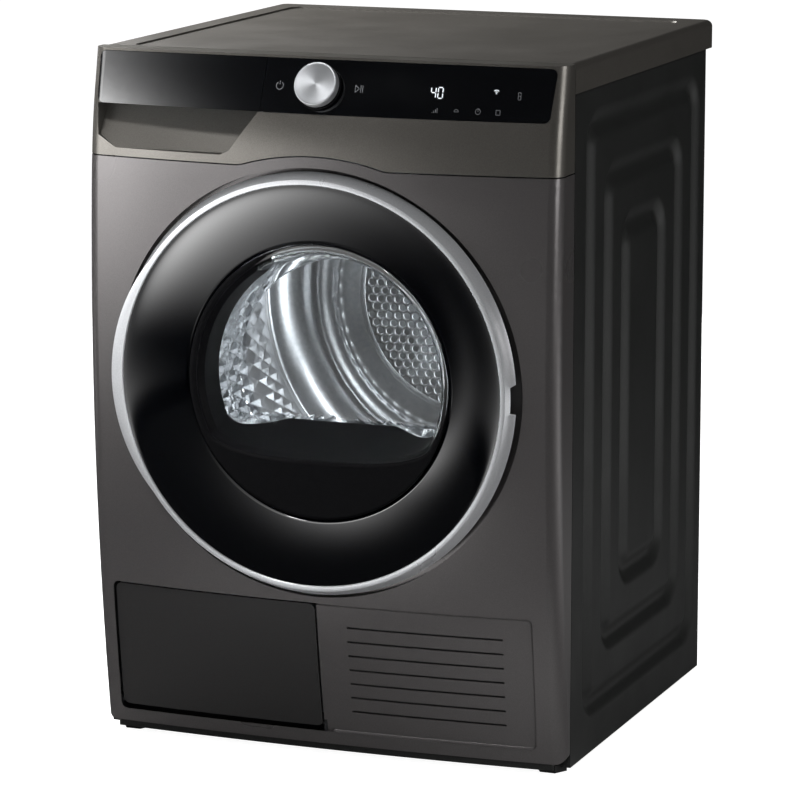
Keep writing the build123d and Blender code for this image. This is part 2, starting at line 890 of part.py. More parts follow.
# Top cover: slab with a sunken field, skirts at the sides and back, open towards the control panel
cover_front_y = seam_y + seam / 2
with BuildPart() as top_cover:
    with BuildSketch(Plane.XY.offset(cover_z)) as cover_plan:
        with Locations((0, (cover_front_y + back_y) / 2)):
            Rectangle(width, back_y - cover_front_y)
        fillet(cover_plan.vertices().group_by(Axis.Y)[-1], cover_corner)
    extrude(amount=cover_height)
    cover_top = top_cover.faces().sort_by(Axis.Z)[-1]
    fillet(cover_top.edges().filter_by(lambda e: e.center().Y > cover_front_y + sheet), cover_round)
    span_box(-half_w + cover_skirt, half_w - cover_skirt, cover_front_y - flange, back_y - cover_skirt,
             cover_z - flange, height - cover_slab, Mode.SUBTRACT)
    with BuildSketch(Plane.XY.offset(height)):
        with Locations((0, (cover_front_y + back_y - cover_rim) / 2)):
            RectangleRounded(width - 2 * cover_rim, back_y - cover_front_y - cover_rim - cover_front_rim,
                             cover_corner)
    extrude(amount=-cover_sink, taper=cover_taper, mode=Mode.SUBTRACT)
save(top_cover, "top_cover")

# Front bulkhead: plate with the mouth hole, drum ring, tank notch and two lower openings
felt_radius = drum_radius - drum_lip - clear_gap - felt_height
bulk_half = inner_w - fit_gap
bulk_top_z = cover_z - fit_gap
access_left = lower_left + access_side
access_right = -access_mid
access_z0 = tray_top_z + access_low
access_z1 = lower_top - access_high
with BuildPart() as front_bulkhead:
    with BuildSketch(front_plane(bulk_y)):
        with Locations((0, (tray_top_z + bulk_top_z) / 2)):
            Rectangle(2 * bulk_half, bulk_top_z - tray_top_z)
        with Locations((0, door_z)):
            Circle(mouth_radius, mode=Mode.SUBTRACT)
        with Locations(((tank_left + tank_right) / 2, bulk_top_z)):
            Rectangle(tank_right - tank_left + notch_room, 2 * (bulk_top_z - tank_low_z + clear_gap),
                      mode=Mode.SUBTRACT)
        for x0, x1 in ((access_left, access_right), (access_mid, lower_right - access_side)):
            with Locations(((x0 + x1) / 2, (access_z0 + access_z1) / 2)):
                RectangleRounded(x1 - x0, access_z1 - access_z0, lower_corner, mode=Mode.SUBTRACT)
    extrude(amount=-bulk_wall)
    with BuildSketch(front_plane(bulk_rear_y)):
        with Locations((0, drum_z)):
            Circle(felt_radius)
            Circle(felt_radius - drum_ring_wall, mode=Mode.SUBTRACT)
    extrude(amount=-drum_front_room - lip_turn)
save(front_bulkhead, "front_bulkhead")

# Door mouth: plastic neck between the front panel's dish and the front bulkhead
neck_y = dish_y + sheet
with BuildPart() as door_mouth:
    add(turned([(mouth_radius, neck_y), (mouth_radius + mouth_flange, neck_y),
                (mouth_radius + mouth_flange, neck_y + mouth_flange_wall),
                (mouth_radius + mouth_wall, neck_y + mouth_flange_wall),
                (mouth_radius + mouth_wall, bulk_y), (mouth_radius, bulk_y)], door_z))
save(door_mouth, "door_mouth")

# Lint filter: cassette in the lower part of the mouth, with a sloping top and an open slot
ledge_z = door_z - ledge_drop
bowl_front = front_y + window_set
bowl_back_y = bowl_front + bowl_depth
floor_slope = ledge_rise / bowl_depth
filter_front_y = neck_y + mouth_flange_wall
filter_back_y = bulk_rear_y + filter_reach


def floor_z(y):
    return ledge_z + floor_slope * (y - bowl_front)


def below_floor(shift):
    low = door_z - 2 * mouth_radius
    y0 = front_y
    y1 = back_y
    with BuildPart() as wedge:
        with BuildSketch(Plane.YZ):
            with BuildLine():
                Polyline((y0, floor_z(y0) + shift), (y1, floor_z(y1) + shift), (y1, low), (y0, low),
                         close=True)
            make_face()
        extrude(amount=half_w, both=True)
    return wedge.part


with BuildPart() as lint_filter:
    with BuildSketch(front_plane(filter_front_y)):
        with Locations((0, door_z)):
            Circle(mouth_radius - clear_gap)
    extrude(amount=-(filter_back_y - filter_front_y))
    add(below_floor(-filter_drop), mode=Mode.INTERSECT)
    span_box(-filter_slot_half, filter_slot_half, filter_front_y + filter_slot_front,
             filter_back_y - filter_slot_back, door_z - mouth_radius + filter_slot_low, door_z, Mode.SUBTRACT)
save(lint_filter, "lint_filter")

# Rear bulkhead: plate with a ring of air holes and the drum bearing
motor_x = half_w - motor_side
motor_z = foot_height + motor_rise
duct_low_radius = motor_z - tray_top_z - duct_low_gap
blower_hole = duct_low_radius - blower_lap
with BuildPart() as rear_bulkhead:
    with BuildSketch(front_plane(rear_face_y)):
        with Locations((0, (tray_top_z + bulk_top_z) / 2)):
            Rectangle(2 * bulk_half, bulk_top_z - tray_top_z)
        with Locations((0, drum_z)):
            with PolarLocations(air_circle, air_count):
                Circle(air_hole, mode=Mode.SUBTRACT)
        with Locations((motor_x, motor_z)):
            Circle(blower_hole, mode=Mode.SUBTRACT)
    extrude(amount=bulk_wall)
    bar_y(0, drum_z, shaft_radius + bearing_wall, drum_back_y + bearing_front, rear_face_y + bearing_back)
    bar_y(0, drum_z, shaft_radius + run_gap, drum_back_y, back_y, Mode.SUBTRACT)
save(rear_bulkhead, "rear_bulkhead")

# Felt seals at the front and the back of the drum
rear_felt_in = air_circle + air_hole + felt_room
rear_felt_out = rear_felt_in + felt_wide
drum_plate_y = drum_back_y - drum_wall
with BuildPart() as drum_seals:
    add(turned([(felt_radius + fit_gap, drum_front_y), (felt_radius + felt_height, drum_front_y),
                (felt_radius + felt_height, drum_front_y + felt_length),
                (felt_radius + fit_gap, drum_front_y + felt_length)], drum_z))
    add(turned([(rear_felt_in, drum_plate_y + clear_gap), (rear_felt_out, drum_plate_y + clear_gap),
                (rear_felt_out, rear_y), (rear_felt_in, rear_y)], drum_z))
save(drum_seals, "drum_seals")

# Drum shell with a front lip that runs on the felt and a rear flange for the perforated back
drum_inner = drum_radius - drum_wall
lip_radius = drum_radius - drum_lip
with BuildPart() as drum_shell:
    add(turned([(drum_radius, drum_front_y), (drum_radius, drum_back_y),
                (drum_inner - rear_flange, drum_back_y), (drum_inner - rear_flange, drum_plate_y),
                (drum_inner, drum_plate_y),
                (drum_inner, drum_front_y + drum_wall), (lip_radius + drum_wall, drum_front_y + drum_wall),
                (lip_radius + drum_wall, drum_front_y + lip_turn), (lip_radius, drum_front_y + lip_turn),
                (lip_radius, drum_front_y)], drum_z))
save(drum_shell, "drum_shell")

# Perforated drum back with its hub and shaft
with BuildPart() as drum_back:
    with BuildSketch(front_plane(drum_plate_y)):
        with Locations((0, drum_z)):
            Circle(drum_inner - fit_gap)
            for ring, count in perf_rings:
                with PolarLocations(ring, count):
                    Circle(perf_radius, mode=Mode.SUBTRACT)
    extrude(amount=plate_wall)
    bar_y(0, drum_z, hub_radius, drum_plate_y - plate_wall - hub_stand, drum_plate_y)
    bar_y(0, drum_z, shaft_radius, drum_plate_y, rear_face_y + shaft_past)
save(drum_back, "drum_back")

# Three lifters along the inside of the drum
lifter_y0 = drum_front_y + lifter_front
lifter_y1 = drum_plate_y - plate_wall - lifter_back
with BuildPart() as drum_lifters:
    with BuildSketch(front_plane(lifter_y1)):
        with Locations((0, drum_z)):
            with PolarLocations(0, lifter_count, start_angle=lifter_start):
                with BuildSketch(mode=Mode.PRIVATE) as lifter:
                    with BuildLine():
                        foot_x0 = sqrt(drum_inner ** 2 - lifter_half ** 2) - clear_gap
                        Polyline((foot_x0, -lifter_half), (drum_inner - lifter_height, -lifter_tip),
                                 (drum_inner - lifter_height, lifter_tip), (foot_x0, lifter_half))
                        ThreePointArc((foot_x0, lifter_half), (drum_inner - clear_gap, 0),
                                      (foot_x0, -lifter_half))
                    make_face()
                add(lifter.sketch)
    extrude(amount=lifter_y1 - lifter_y0)
save(drum_lifters, "drum_lifters")

# Two rollers under the drum's front end, on axles in the front bulkhead
roller_y0 = drum_front_y + roller_set
roller_y1 = roller_y0 + roller_width
roller_reach = drum_radius + clear_gap + roller_radius
roller_turn = Vector(0, -roller_reach, 0).rotate(Axis.Z, roller_angle)
roller_places = [(side * roller_turn.X, drum_z + roller_turn.Y) for side in (-1, 1)]
with BuildPart() as roller_axles:
    for x, z in roller_places:
        bar_y(x, z, axle_radius, bulk_rear_y, roller_y1 + axle_past)
        bar_y(x, z, 2 * axle_radius, bulk_rear_y, roller_y0 - axle_boss_gap)
save(roller_axles, "roller_axles")
for (x, z), name in zip(roller_places, ("drum_roller_left", "drum_roller_right")):
    with BuildPart() as roller:
        bar_y(x, z, roller_radius, roller_y0, roller_y1)
        bar_y(x, z, axle_radius + run_gap, roller_y0 - cut_past, roller_y1 + cut_past, Mode.SUBTRACT)
    save(roller, name)

# Belt round the drum and the motor pulley: two arcs and their common tangents
belt_y = motor_y - pulley_width / 2 - belt_room
belt_in = drum_radius + clear_gap
belt_out = belt_in + belt_thick


def belt_loop(grow):
    with BuildSketch(front_plane(belt_y + belt_width / 2)) as loop:
        with BuildLine() as rounds:
            CenterArc((0, drum_z), drum_radius + grow, 0, 360)
            CenterArc((motor_x, motor_z), pulley_radius + grow, 0, 360)
        make_hull(rounds.edges())
    return loop.sketch


with BuildPart() as drive_belt:
    add(extrude(belt_loop(clear_gap + belt_thick), amount=belt_width, mode=Mode.PRIVATE))
    add(extrude(belt_loop(clear_gap), amount=belt_width, mode=Mode.PRIVATE), mode=Mode.SUBTRACT)
save(drive_belt, "drive_belt")

# Drive motor: can with two bearings, a foot on the tray and the arm of the idler
span_drum_motor = hypot(motor_x, motor_z - drum_z)
tangent = atan2(motor_z - drum_z, motor_x) - acos((drum_radius - pulley_radius) / span_drum_motor)
idler_out = belt_out + clear_gap + idler_radius
idler_x = idler_out * cos(tangent) - idler_along * sin(tangent)
idler_z = drum_z + idler_out * sin(tangent) + idler_along * cos(tangent)
arm_y0 = motor_y - arm_wall
with BuildPart() as drive_motor:
    bar_y(motor_x, motor_z, motor_radius, motor_y, motor_y + motor_length)
    span_box(motor_x - motor_radius / 2, motor_x + motor_radius / 2, motor_y + motor_foot_in,
             motor_y + motor_length - motor_foot_in, tray_floor_z, motor_z)
    bar_y(motor_x, motor_z, rotor_radius + rotor_gap, motor_y + motor_end, motor_y + motor_length - motor_end,
          Mode.SUBTRACT)
    with BuildSketch(front_plane(motor_y)):
        with BuildLine() as arm_rounds:
            CenterArc((motor_x, motor_z), arm_boss, 0, 360)
            CenterArc((idler_x, idler_z), idler_radius / 2, 0, 360)
        make_hull(arm_rounds.edges())
    extrude(amount=motor_y - arm_y0)
    bar_y(idler_x, idler_z, axle_radius, belt_y - belt_width / 2, arm_y0)
    bar_y(motor_x, motor_z, motor_shaft + run_gap, arm_y0 - cut_past, motor_y + motor_length + cut_past,
          Mode.SUBTRACT)
save(drive_motor, "drive_motor")

with BuildPart() as idler_wheel:
    bar_y(idler_x, idler_z, idler_radius, belt_y - belt_width / 2, belt_y + belt_width / 2)
    bar_y(idler_x, idler_z, axle_radius + run_gap, belt_y - belt_width, belt_y + belt_width, Mode.SUBTRACT)
save(idler_wheel, "idler_wheel")

# Motor rotor with the belt pulley at the front and the fan impeller at the back
fan_y0 = motor_y + motor_length + fan_gap
fan_y1 = rear_y - fan_rear
with BuildPart() as motor_rotor:
    bar_y(motor_x, motor_z, motor_shaft, belt_y - pulley_width / 2, fan_y1)
    bar_y(motor_x, motor_z, pulley_radius, belt_y - pulley_width / 2, belt_y + pulley_width / 2)
    bar_y(motor_x, motor_z, rotor_radius, motor_y + rotor_end, motor_y + motor_length - rotor_end)
save(motor_rotor, "motor_rotor")

with BuildPart() as fan_impeller:
    bar_y(motor_x, motor_z, fan_radius, fan_y1 - fan_disc, fan_y1)
    bar_y(motor_x, motor_z, fan_hub, fan_y0, fan_y1)
    with BuildSketch(front_plane(fan_y1)):
        with Locations((motor_x, motor_z)):
            with PolarLocations(blade_circle, blade_count):
                Rectangle(blade_length, blade_wall, rotation=blade_angle)
    extrude(amount=fan_y1 - fan_y0)
    bar_y(motor_x, motor_z, motor_shaft, fan_y0 - cut_past, fan_y1 + cut_past, Mode.SUBTRACT)
save(fan_impeller, "fan_impeller")

# Blower housing on the rear bulkhead
blower_y0 = fan_y0 - blower_room
with BuildPart() as blower_housing:
    bar_y(motor_x, motor_z, blower_radius, blower_y0, rear_y)
    bar_y(motor_x, motor_z, blower_radius - blower_wall, blower_y0 + blower_wall, rear_y + cut_past,
          Mode.SUBTRACT)
    bar_y(motor_x, motor_z, blower_eye, blower_y0 - cut_past, rear_y, Mode.SUBTRACT)
save(blower_housing, "blower_housing")

# Rear air duct: pan over the air holes and the blower, standing out of the back panel
duct_back_y = back_y - duct_inset


def duct_outline(grow):
    with BuildSketch(Plane.XZ) as outline:
        with BuildLine() as rounds:
            CenterArc((0, drum_z), duct_radius + grow, 0, 360)
            CenterArc((motor_x, motor_z), duct_low_radius + grow, 0, 360)
        make_hull(rounds.edges())
    return outline.sketch


def duct_pan(inset):
    pan_back_y = duct_back_y - inset
    with BuildPart() as pan:
        with BuildSketch(front_plane(pan_back_y)):
            add(duct_outline(-inset))
        extrude(amount=pan_back_y - rear_face_y)
        fillet(pan.faces().sort_by(Axis.Y)[-1].edges(), duct_round - inset)
    return pan.part


with BuildPart() as rear_duct_cover:
    add(duct_pan(0))
    add(duct_pan(duct_wall), mode=Mode.SUBTRACT)
save(rear_duct_cover, "rear_duct_cover")

# Back panel: plate on the side flanges, cut out round the duct, with vent slots
with BuildPart() as back_panel:
    with BuildSketch(front_plane(side_back_y + sheet)):
        with Locations((0, (foot_height + bulk_top_z) / 2)):
            Rectangle(2 * bulk_half, bulk_top_z - foot_height)
        add(duct_outline(duct_clear), mode=Mode.SUBTRACT)
        with Locations((-vent_side, foot_height + vent_rise)):
            with GridLocations(0, vent_pitch, 1, vent_count):
                SlotOverall(vent_length, vent_height, mode=Mode.SUBTRACT)
    extrude(amount=sheet)
save(back_panel, "back_panel")

# Case screws along the back and mains inlet box
plate_back_y = side_back_y + sheet
screw_levels = (foot_height + screw_low, height / 2, cover_z - screw_high)
screw_places = [(side * (half_w - screw_side), z) for side in (-1, 1) for z in screw_levels]
with BuildPart() as case_screws:
    for x, z in screw_places:
        bar_y(x, z, screw_radius, plate_back_y, plate_back_y + screw_head)
save(case_screws, "case_screws")

inlet_x = -half_w + inlet_side
inlet_z = cover_z - inlet_drop
with BuildPart() as mains_inlet:
    span_box(inlet_x - inlet_half, inlet_x + inlet_half, plate_back_y, plate_back_y + inlet_deep,
             inlet_z - inlet_tall, inlet_z + inlet_tall)
    with Locations((inlet_x, plate_back_y + inlet_deep / 2, inlet_z - inlet_tall)):
        Cylinder(cord_radius, 2 * cord_hole, mode=Mode.SUBTRACT)
save(mains_inlet, "mains_inlet")

# Heat exchanger: housing over two finned coils, and the latched cover at the front
housing_x0 = lower_left + housing_side
housing_x1 = -housing_end
housing_y0 = tray_front_y + tray_wall
housing_y1 = motor_y + motor_length + housing_back
housing_z1 = tray_floor_z + housing_height
with BuildPart() as exchanger_housing:
    span_box(housing_x0, housing_x1, housing_y0, housing_y1, tray_floor_z, housing_z1)
    span_box(housing_x0 + housing_wall, housing_x1 - housing_wall, housing_y0 - cut_past,
             housing_y1 - housing_wall, tray_floor_z - cut_past, housing_z1 - housing_wall, Mode.SUBTRACT)
    slot_y = housing_y0 + housing_slot_front
    span_box(housing_x0 + housing_slot_side, housing_x1 - housing_slot_side, slot_y,
             slot_y + housing_slot_wide, tray_floor_z, housing_z1 + cut_past, Mode.SUBTRACT)
save(exchanger_housing, "exchanger_housing")


def coil_block(y0):
    x0 = housing_x0 + coil_room
    x1 = housing_x1 - coil_room
    z1 = housing_z1 - coil_room
    mid = (tray_floor_z + z1) / 2
    with BuildPart() as coil:
        with Locations(((x0 + x1) / 2, y0 + coil_length / 2, mid)):
            with GridLocations((x1 - x0 - fin_wall) / (fin_count - 1), 0, fin_count, 1):
                Box(fin_wall, coil_length, z1 - tray_floor_z)
        with BuildSketch(Plane.YZ.offset(x0)):
            with Locations((y0 + coil_length / 2, mid)):
                with GridLocations(coil_length / tube_rows, (z1 - tray_floor_z) / tube_columns,
                                   tube_rows, tube_columns):
                    Circle(tube_radius)
        extrude(amount=x1 - x0)
    return coil


save(coil_block(housing_y0 + coil_front), "evaporator")
save(coil_block(housing_y0 + coil_front + coil_length + coil_gap), "condenser")

# Latched cover over the access opening
cover_face_y = bulk_y - cover_wall
latch_z = (access_z0 + access_z1) / 2
latch_places = [access_left + latch_in, access_right - latch_in]
with BuildPart() as exchanger_cover:
    with BuildSketch(front_plane(bulk_y)):
        with Locations(((access_left + access_right) / 2, latch_z)):
            RectangleRounded(access_right - access_left + 2 * cover_border,
                             access_z1 - access_z0 + 2 * cover_border, lower_corner)
    extrude(amount=cover_wall)
    for x in latch_places:
        bar_y(x, latch_z, latch_stem + run_gap, cover_face_y - cut_past, bulk_y - latch_seat, Mode.SUBTRACT)
save(exchanger_cover, "exchanger_cover")

for x, name in zip(latch_places, ("cover_latch_left", "cover_latch_right")):
    with BuildPart() as cover_latch:
        with BuildSketch(front_plane(cover_face_y - clear_gap)):
            with Locations((x, latch_z)):
                SlotOverall(latch_arm, latch_wide, rotation=90)
        extrude(amount=latch_thick)
        bar_y(x, latch_z, latch_stem, cover_face_y - cut_past, bulk_y - latch_seat - latch_stem_gap)
    save(cover_latch, name)

# Compressor on three rubber mounts, with its refrigerant pipes
comp_x = motor_x - comp_shift
comp_z0 = tray_floor_z + comp_rise
with BuildPart() as compressor:
    with BuildSketch(Plane.XY.offset(comp_z0)):
        with Locations((comp_x, comp_y)):
            Circle(comp_radius)
    extrude(amount=comp_height)
    fillet(compressor.edges().filter_by(GeomType.CIRCLE), comp_round)
    with BuildSketch(Plane.XY.offset(tray_floor_z + mount_height)):
        with Locations((comp_x, comp_y)):
            RectangleRounded(2 * comp_radius, 2 * comp_radius, comp_foot_round)
    extrude(amount=comp_z0 + comp_foot_lap - tray_floor_z - mount_height)
save(compressor, "compressor")
with BuildPart() as compressor_mounts:
    with Locations((comp_x, comp_y, tray_floor_z + mount_height / 2)):
        with PolarLocations(mount_circle, mount_count):
            Cylinder(mount_radius, mount_height)
save(compressor_mounts, "compressor_mounts")

pipe_top = comp_z0 + comp_height
pipe_high = pipe_top + pipe_rise
pipe_low = housing_z1 - pipe_rise
with BuildPart() as refrigerant_pipes:
    with BuildLine() as hot_pipe:
        FilletPolyline((comp_x, comp_y, pipe_top), (comp_x, comp_y, pipe_high),
                       (comp_x, comp_y + pipe_run, pipe_high),
                       (housing_x1 + pipe_run, comp_y + pipe_land, pipe_low),
                       (housing_x1, comp_y + pipe_land, pipe_low), radius=pipe_bend)
    with BuildSketch(Plane(origin=hot_pipe.line @ 0, z_dir=hot_pipe.line % 0)):
        Circle(pipe_radius)
    sweep(path=hot_pipe.line)
    with BuildSketch(Plane.YZ.offset(housing_x1)):
        with Locations((comp_y, comp_z0 + comp_height / 2)):
            Circle(pipe_radius)
    extrude(amount=comp_x - comp_radius - housing_x1)
save(refrigerant_pipes, "refrigerant_pipes")

# Condensate pump and the hose up to the tank chute
pump_x = housing_x0 + pump_side
pump_y = (housing_y1 + tray_back_y) / 2
pump_top = tray_floor_z + pump_height
hose_x = -half_w + hose_side
hose_end_x = tank_left + hose_land
with BuildPart() as condensate_pump:
    with BuildSketch(Plane.XY.offset(tray_floor_z)):
        with Locations((pump_x, pump_y)):
            RectangleRounded(pump_long, pump_wide, pump_round)
    extrude(amount=pump_height - pump_cap)
    with Locations((pump_x, pump_y, pump_top - pump_neck / 2)):
        Cylinder(pump_neck_radius, pump_neck)
save(condensate_pump, "condensate_pump")
with BuildPart() as drain_hose:
    with BuildLine() as hose_line:
        FilletPolyline((pump_x, pump_y, pump_top), (pump_x, pump_y, pump_top + hose_rise),
                       (hose_x, pump_y, pump_top + hose_turn), (hose_x, pump_y, drum_z + hose_high),
                       (hose_end_x, pump_y, chute_z - hose_land), (hose_end_x, pump_y, chute_z),
                       radius=hose_bend)
    with BuildSketch(Plane(origin=hose_line.line @ 0, z_dir=hose_line.line % 0)):
        Circle(hose_radius)
    sweep(path=hose_line.line)
save(drain_hose, "drain_hose")

# Drum lamp on the front bulkhead, inside the drum ring
with BuildPart() as drum_lamp:
    bar_y(lamp_x, drum_z + lamp_rise, lamp_radius, bulk_rear_y, bulk_rear_y + lamp_deep)
    fillet(drum_lamp.edges().filter_by(GeomType.CIRCLE).sort_by(Axis.Y)[-1], lamp_round)
save(drum_lamp, "drum_lamp")

# Door ring: bright face, flared wall, and a grip on the left where the face widens
ring_back_y = front_y + ring_depth
hinge_x = ring_edge - hinge_inset
hinge_y = front_y + hinge_depth
notch_half = hinge_half + hinge_room
notch_y = hinge_y - hinge_barrel - hinge_room / 2
liner_in = mouth_radius + liner_lap
seal_in = liner_in + seal_set
seal_out = seal_in + seal_wide
bracket_x = seal_out + bracket_gap
wall_slope = ring_flare / ring_depth
ring_face_y = front_y + ring_wall
with BuildPart() as door_ring:
    add(turned([(ring_radius, front_y), (ring_out, front_y), (ring_edge, ring_back_y),
                (ring_edge - ring_wall, ring_back_y),
                (ring_out - ring_wall + wall_slope * ring_wall, ring_face_y),
                (ring_radius, ring_face_y)], door_z))
    with BuildSketch(front_plane(front_y + grip_depth)):
        with Locations((grip_radius - ring_out - grip_width, door_z)):
            Circle(grip_radius)
        with Locations((0, door_z)):
            Circle(ring_out - ring_wall / 2, mode=Mode.SUBTRACT)
        with Locations((half_w, door_z)):
            Rectangle(2 * half_w, width, mode=Mode.SUBTRACT)
    extrude(amount=grip_depth)
    span_box(hinge_x - hinge_inset, half_w, notch_y, seam_y, door_z - notch_half, door_z + notch_half,
             Mode.SUBTRACT)
save(door_ring, "door_ring")

# Black bezel: a dished ring from the silver ring in to the window
bezel_out = ring_radius - clear_gap
bezel_in = window_radius + clear_gap
bezel_front_y = front_y + bezel_set
bezel_step_y = front_y + bezel_step
with BuildPart() as door_bezel:
    add(turned([(bezel_out, bezel_front_y), (mouth_radius, bezel_step_y), (bezel_in, bowl_front),
                (bezel_in, bowl_front + bezel_end_wall), (mouth_radius, bezel_step_y + bezel_wall),
                (bezel_out, bezel_front_y + bezel_wall)], door_z))
save(door_bezel, "door_bezel")

# Window: a clear bowl that reaches into the drum mouth, with a sloping floor
bowl_end = window_radius - bowl_taper


def bowl_solid(inset, shift):
    rim = window_radius - 2 * inset
    with BuildPart() as bowl:
        add(turned([(0, bowl_front), (rim, bowl_front), (rim, bowl_front + bowl_lip),
                    (rim - bowl_shoulder, bowl_front + bowl_shoulder_deep),
                    (bowl_end + bowl_knee - inset, bowl_back_y - bowl_knee_deep - inset),
                    (bowl_end - inset, bowl_back_y - bowl_crown - inset), (0, bowl_back_y - inset)], door_z))
        add(below_floor(shift), mode=Mode.SUBTRACT)
    return bowl.part


with BuildPart() as door_window:
    add(bowl_solid(0, 0))
    add(bowl_solid(window_wall, window_wall), mode=Mode.SUBTRACT)
save(door_window, "door_window")

# Lower plate of the door under the window's floor
with BuildPart() as door_plate:
    with BuildSketch(front_plane(bowl_front + plate_thick)):
        with Locations((0, door_z)):
            Circle(window_radius)
    extrude(amount=plate_thick)
    add(below_floor(-clear_gap), mode=Mode.INTERSECT)
save(door_plate, "door_plate")

# Liner behind the bezel, cut away where the hinge arm swings
liner_out = ring_edge - ring_wall - liner_gap
bezel_slope = (bezel_step_y - bezel_front_y) / (bezel_out - mouth_radius)


def bezel_back(radius):
    return bezel_front_y + bezel_wall + bezel_slope * (bezel_out - radius)


liner_mid = liner_in + liner_run
liner_steps = ((liner_in, bezel_back(liner_in) + liner_lift),
               (liner_mid, bezel_back(liner_mid) + liner_mid_lift), (liner_out, ring_back_y - liner_lift))


def liner_front(radius):
    (r0, y0), (r1, y1) = liner_steps[:2] if radius < liner_mid else liner_steps[1:]
    return y0 + (y1 - y0) * (radius - r0) / (r1 - r0)


leaf_half = hinge_half + clear_gap + hinge_leaf
with BuildPart() as door_liner:
    add(turned([*liner_steps, *[(r, y + liner_wall) for r, y in reversed(liner_steps)]], door_z))
    span_box(bracket_x - bracket_cut, half_w, front_y, seam_y, door_z - notch_half, door_z + notch_half,
             Mode.SUBTRACT)
    span_box(hinge_x - hinge_barrel - barrel_room, half_w, front_y, seam_y, door_z - leaf_half - hinge_room,
             door_z + leaf_half + hinge_room, Mode.SUBTRACT)
save(door_liner, "door_liner")

# Rubber seal on the liner, just clear of the dish
seal_back = liner_wall + run_gap
with BuildPart() as door_seal:
    add(turned([(seal_in, liner_front(seal_in) + seal_back), (seal_out, liner_front(seal_out) + seal_back),
                (seal_out, dish_y - seal_lip), (seal_in + seal_wide / 2, dish_y - clear_gap),
                (seal_in, dish_y - seal_lip / 2)], door_z))
save(door_seal, "door_seal")

# Hinge bracket on the dish: plate, slanted arm, knuckle and pin
arm_x = bracket_x + bracket_arm_in
with BuildPart() as hinge_bracket:
    span_box(bracket_x, bracket_x + bracket_wide, dish_y - bracket_wall, dish_y,
             door_z - hinge_half, door_z + hinge_half)
    with BuildSketch(Plane.XY.offset(door_z - hinge_half)):
        with BuildLine():
            Polyline((arm_x, dish_y - bracket_wall), (arm_x + bracket_arm, dish_y - bracket_wall),
                     (hinge_x + arm_bite, hinge_y + hinge_barrel - arm_bite),
                     (hinge_x - hinge_barrel + arm_bite, hinge_y - arm_bite), close=True)
        make_face()
        with Locations((hinge_x, hinge_y)):
            Circle(hinge_barrel)
    extrude(amount=2 * hinge_half)
    with Locations((hinge_x, hinge_y, door_z)):
        Cylinder(hinge_pin, 2 * (hinge_half + hinge_leaf))
save(hinge_bracket, "hinge_bracket")

# Hinge leaves on the door, above and below the knuckle
leaf_x0 = hinge_x - leaf_in
leaf_x1 = leaf_x0 + leaf_wide
leaf_back_y = liner_front(hypot(leaf_x1, leaf_half)) - run_gap
with BuildPart() as door_hinge:
    for side in (-1, 1):
        low = door_z + side * (hinge_half + clear_gap + hinge_leaf / 2) - hinge_leaf / 2
        with BuildSketch(Plane.XY.offset(low)):
            with Locations((hinge_x, hinge_y)):
                Circle(hinge_barrel)
            with Locations(((leaf_x0 + hinge_x) / 2, hinge_y + hinge_barrel - leaf_wall / 2)):
                Rectangle(hinge_x - leaf_x0, leaf_wall)
            with Locations(((leaf_x0 + leaf_x1) / 2, (hinge_y + hinge_barrel - leaf_wall + leaf_back_y) / 2)):
                Rectangle(leaf_x1 - leaf_x0, leaf_back_y - hinge_y - hinge_barrel + leaf_wall)
            with Locations((hinge_x, hinge_y)):
                Circle(hinge_pin + run_gap, mode=Mode.SUBTRACT)
        extrude(amount=hinge_leaf)
save(door_hinge, "door_hinge")

# Latch hook on the liner, reaching through the slot of the dish
hook_y0 = liner_front(-latch_x - hook_half) + liner_wall
hook_y1 = dish_y + hook_reach
with BuildPart() as door_latch:
    span_box(latch_x - hook_half, latch_x + hook_half, hook_y0, hook_y1,
             door_z - hook_half, door_z + hook_half)
    span_box(latch_x - hook_half - hook_barb, latch_x, hook_y1 - hook_barb_wall, hook_y1,
             door_z - hook_half, door_z + hook_half)
save(door_latch, "door_latch")
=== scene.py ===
import json

import bmesh
import bpy
import numpy as np
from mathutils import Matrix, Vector


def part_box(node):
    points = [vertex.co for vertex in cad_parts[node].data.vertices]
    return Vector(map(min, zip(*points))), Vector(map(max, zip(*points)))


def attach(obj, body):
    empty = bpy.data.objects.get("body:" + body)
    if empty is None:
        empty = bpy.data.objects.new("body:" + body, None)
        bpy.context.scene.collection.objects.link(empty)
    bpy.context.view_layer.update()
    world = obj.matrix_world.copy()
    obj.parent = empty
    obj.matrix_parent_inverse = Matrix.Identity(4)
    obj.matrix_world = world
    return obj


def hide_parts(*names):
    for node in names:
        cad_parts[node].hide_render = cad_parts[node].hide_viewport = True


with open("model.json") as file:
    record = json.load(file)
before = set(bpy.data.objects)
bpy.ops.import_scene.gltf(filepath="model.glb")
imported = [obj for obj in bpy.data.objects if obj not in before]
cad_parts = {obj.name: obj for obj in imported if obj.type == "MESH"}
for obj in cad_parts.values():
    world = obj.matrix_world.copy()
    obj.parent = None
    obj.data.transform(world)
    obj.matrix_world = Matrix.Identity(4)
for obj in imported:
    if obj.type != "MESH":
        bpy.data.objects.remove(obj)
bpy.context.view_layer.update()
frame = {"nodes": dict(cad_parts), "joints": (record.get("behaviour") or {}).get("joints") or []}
mm = 0.001
print("frame loaded,", len(frame["nodes"]), "solids")


def hexLinear(text):  # sRGB hex to the linear values that shaders take
    srgb = np.array([int(text[i:i + 2], 16) for i in (1, 3, 5)]) / 255
    linear = np.where(srgb <= 0.04045, srgb / 12.92, ((srgb + 0.055) / 1.055) ** 2.4)
    return (*linear.tolist(), 1.0)


def feed(tree, node, sources):  # sockets take values or the outputs of other nodes
    for socket, source in sources.items():
        if isinstance(source, bpy.types.NodeSocket):
            tree.links.new(source, node.inputs[socket])
        else:
            node.inputs[socket].default_value = source


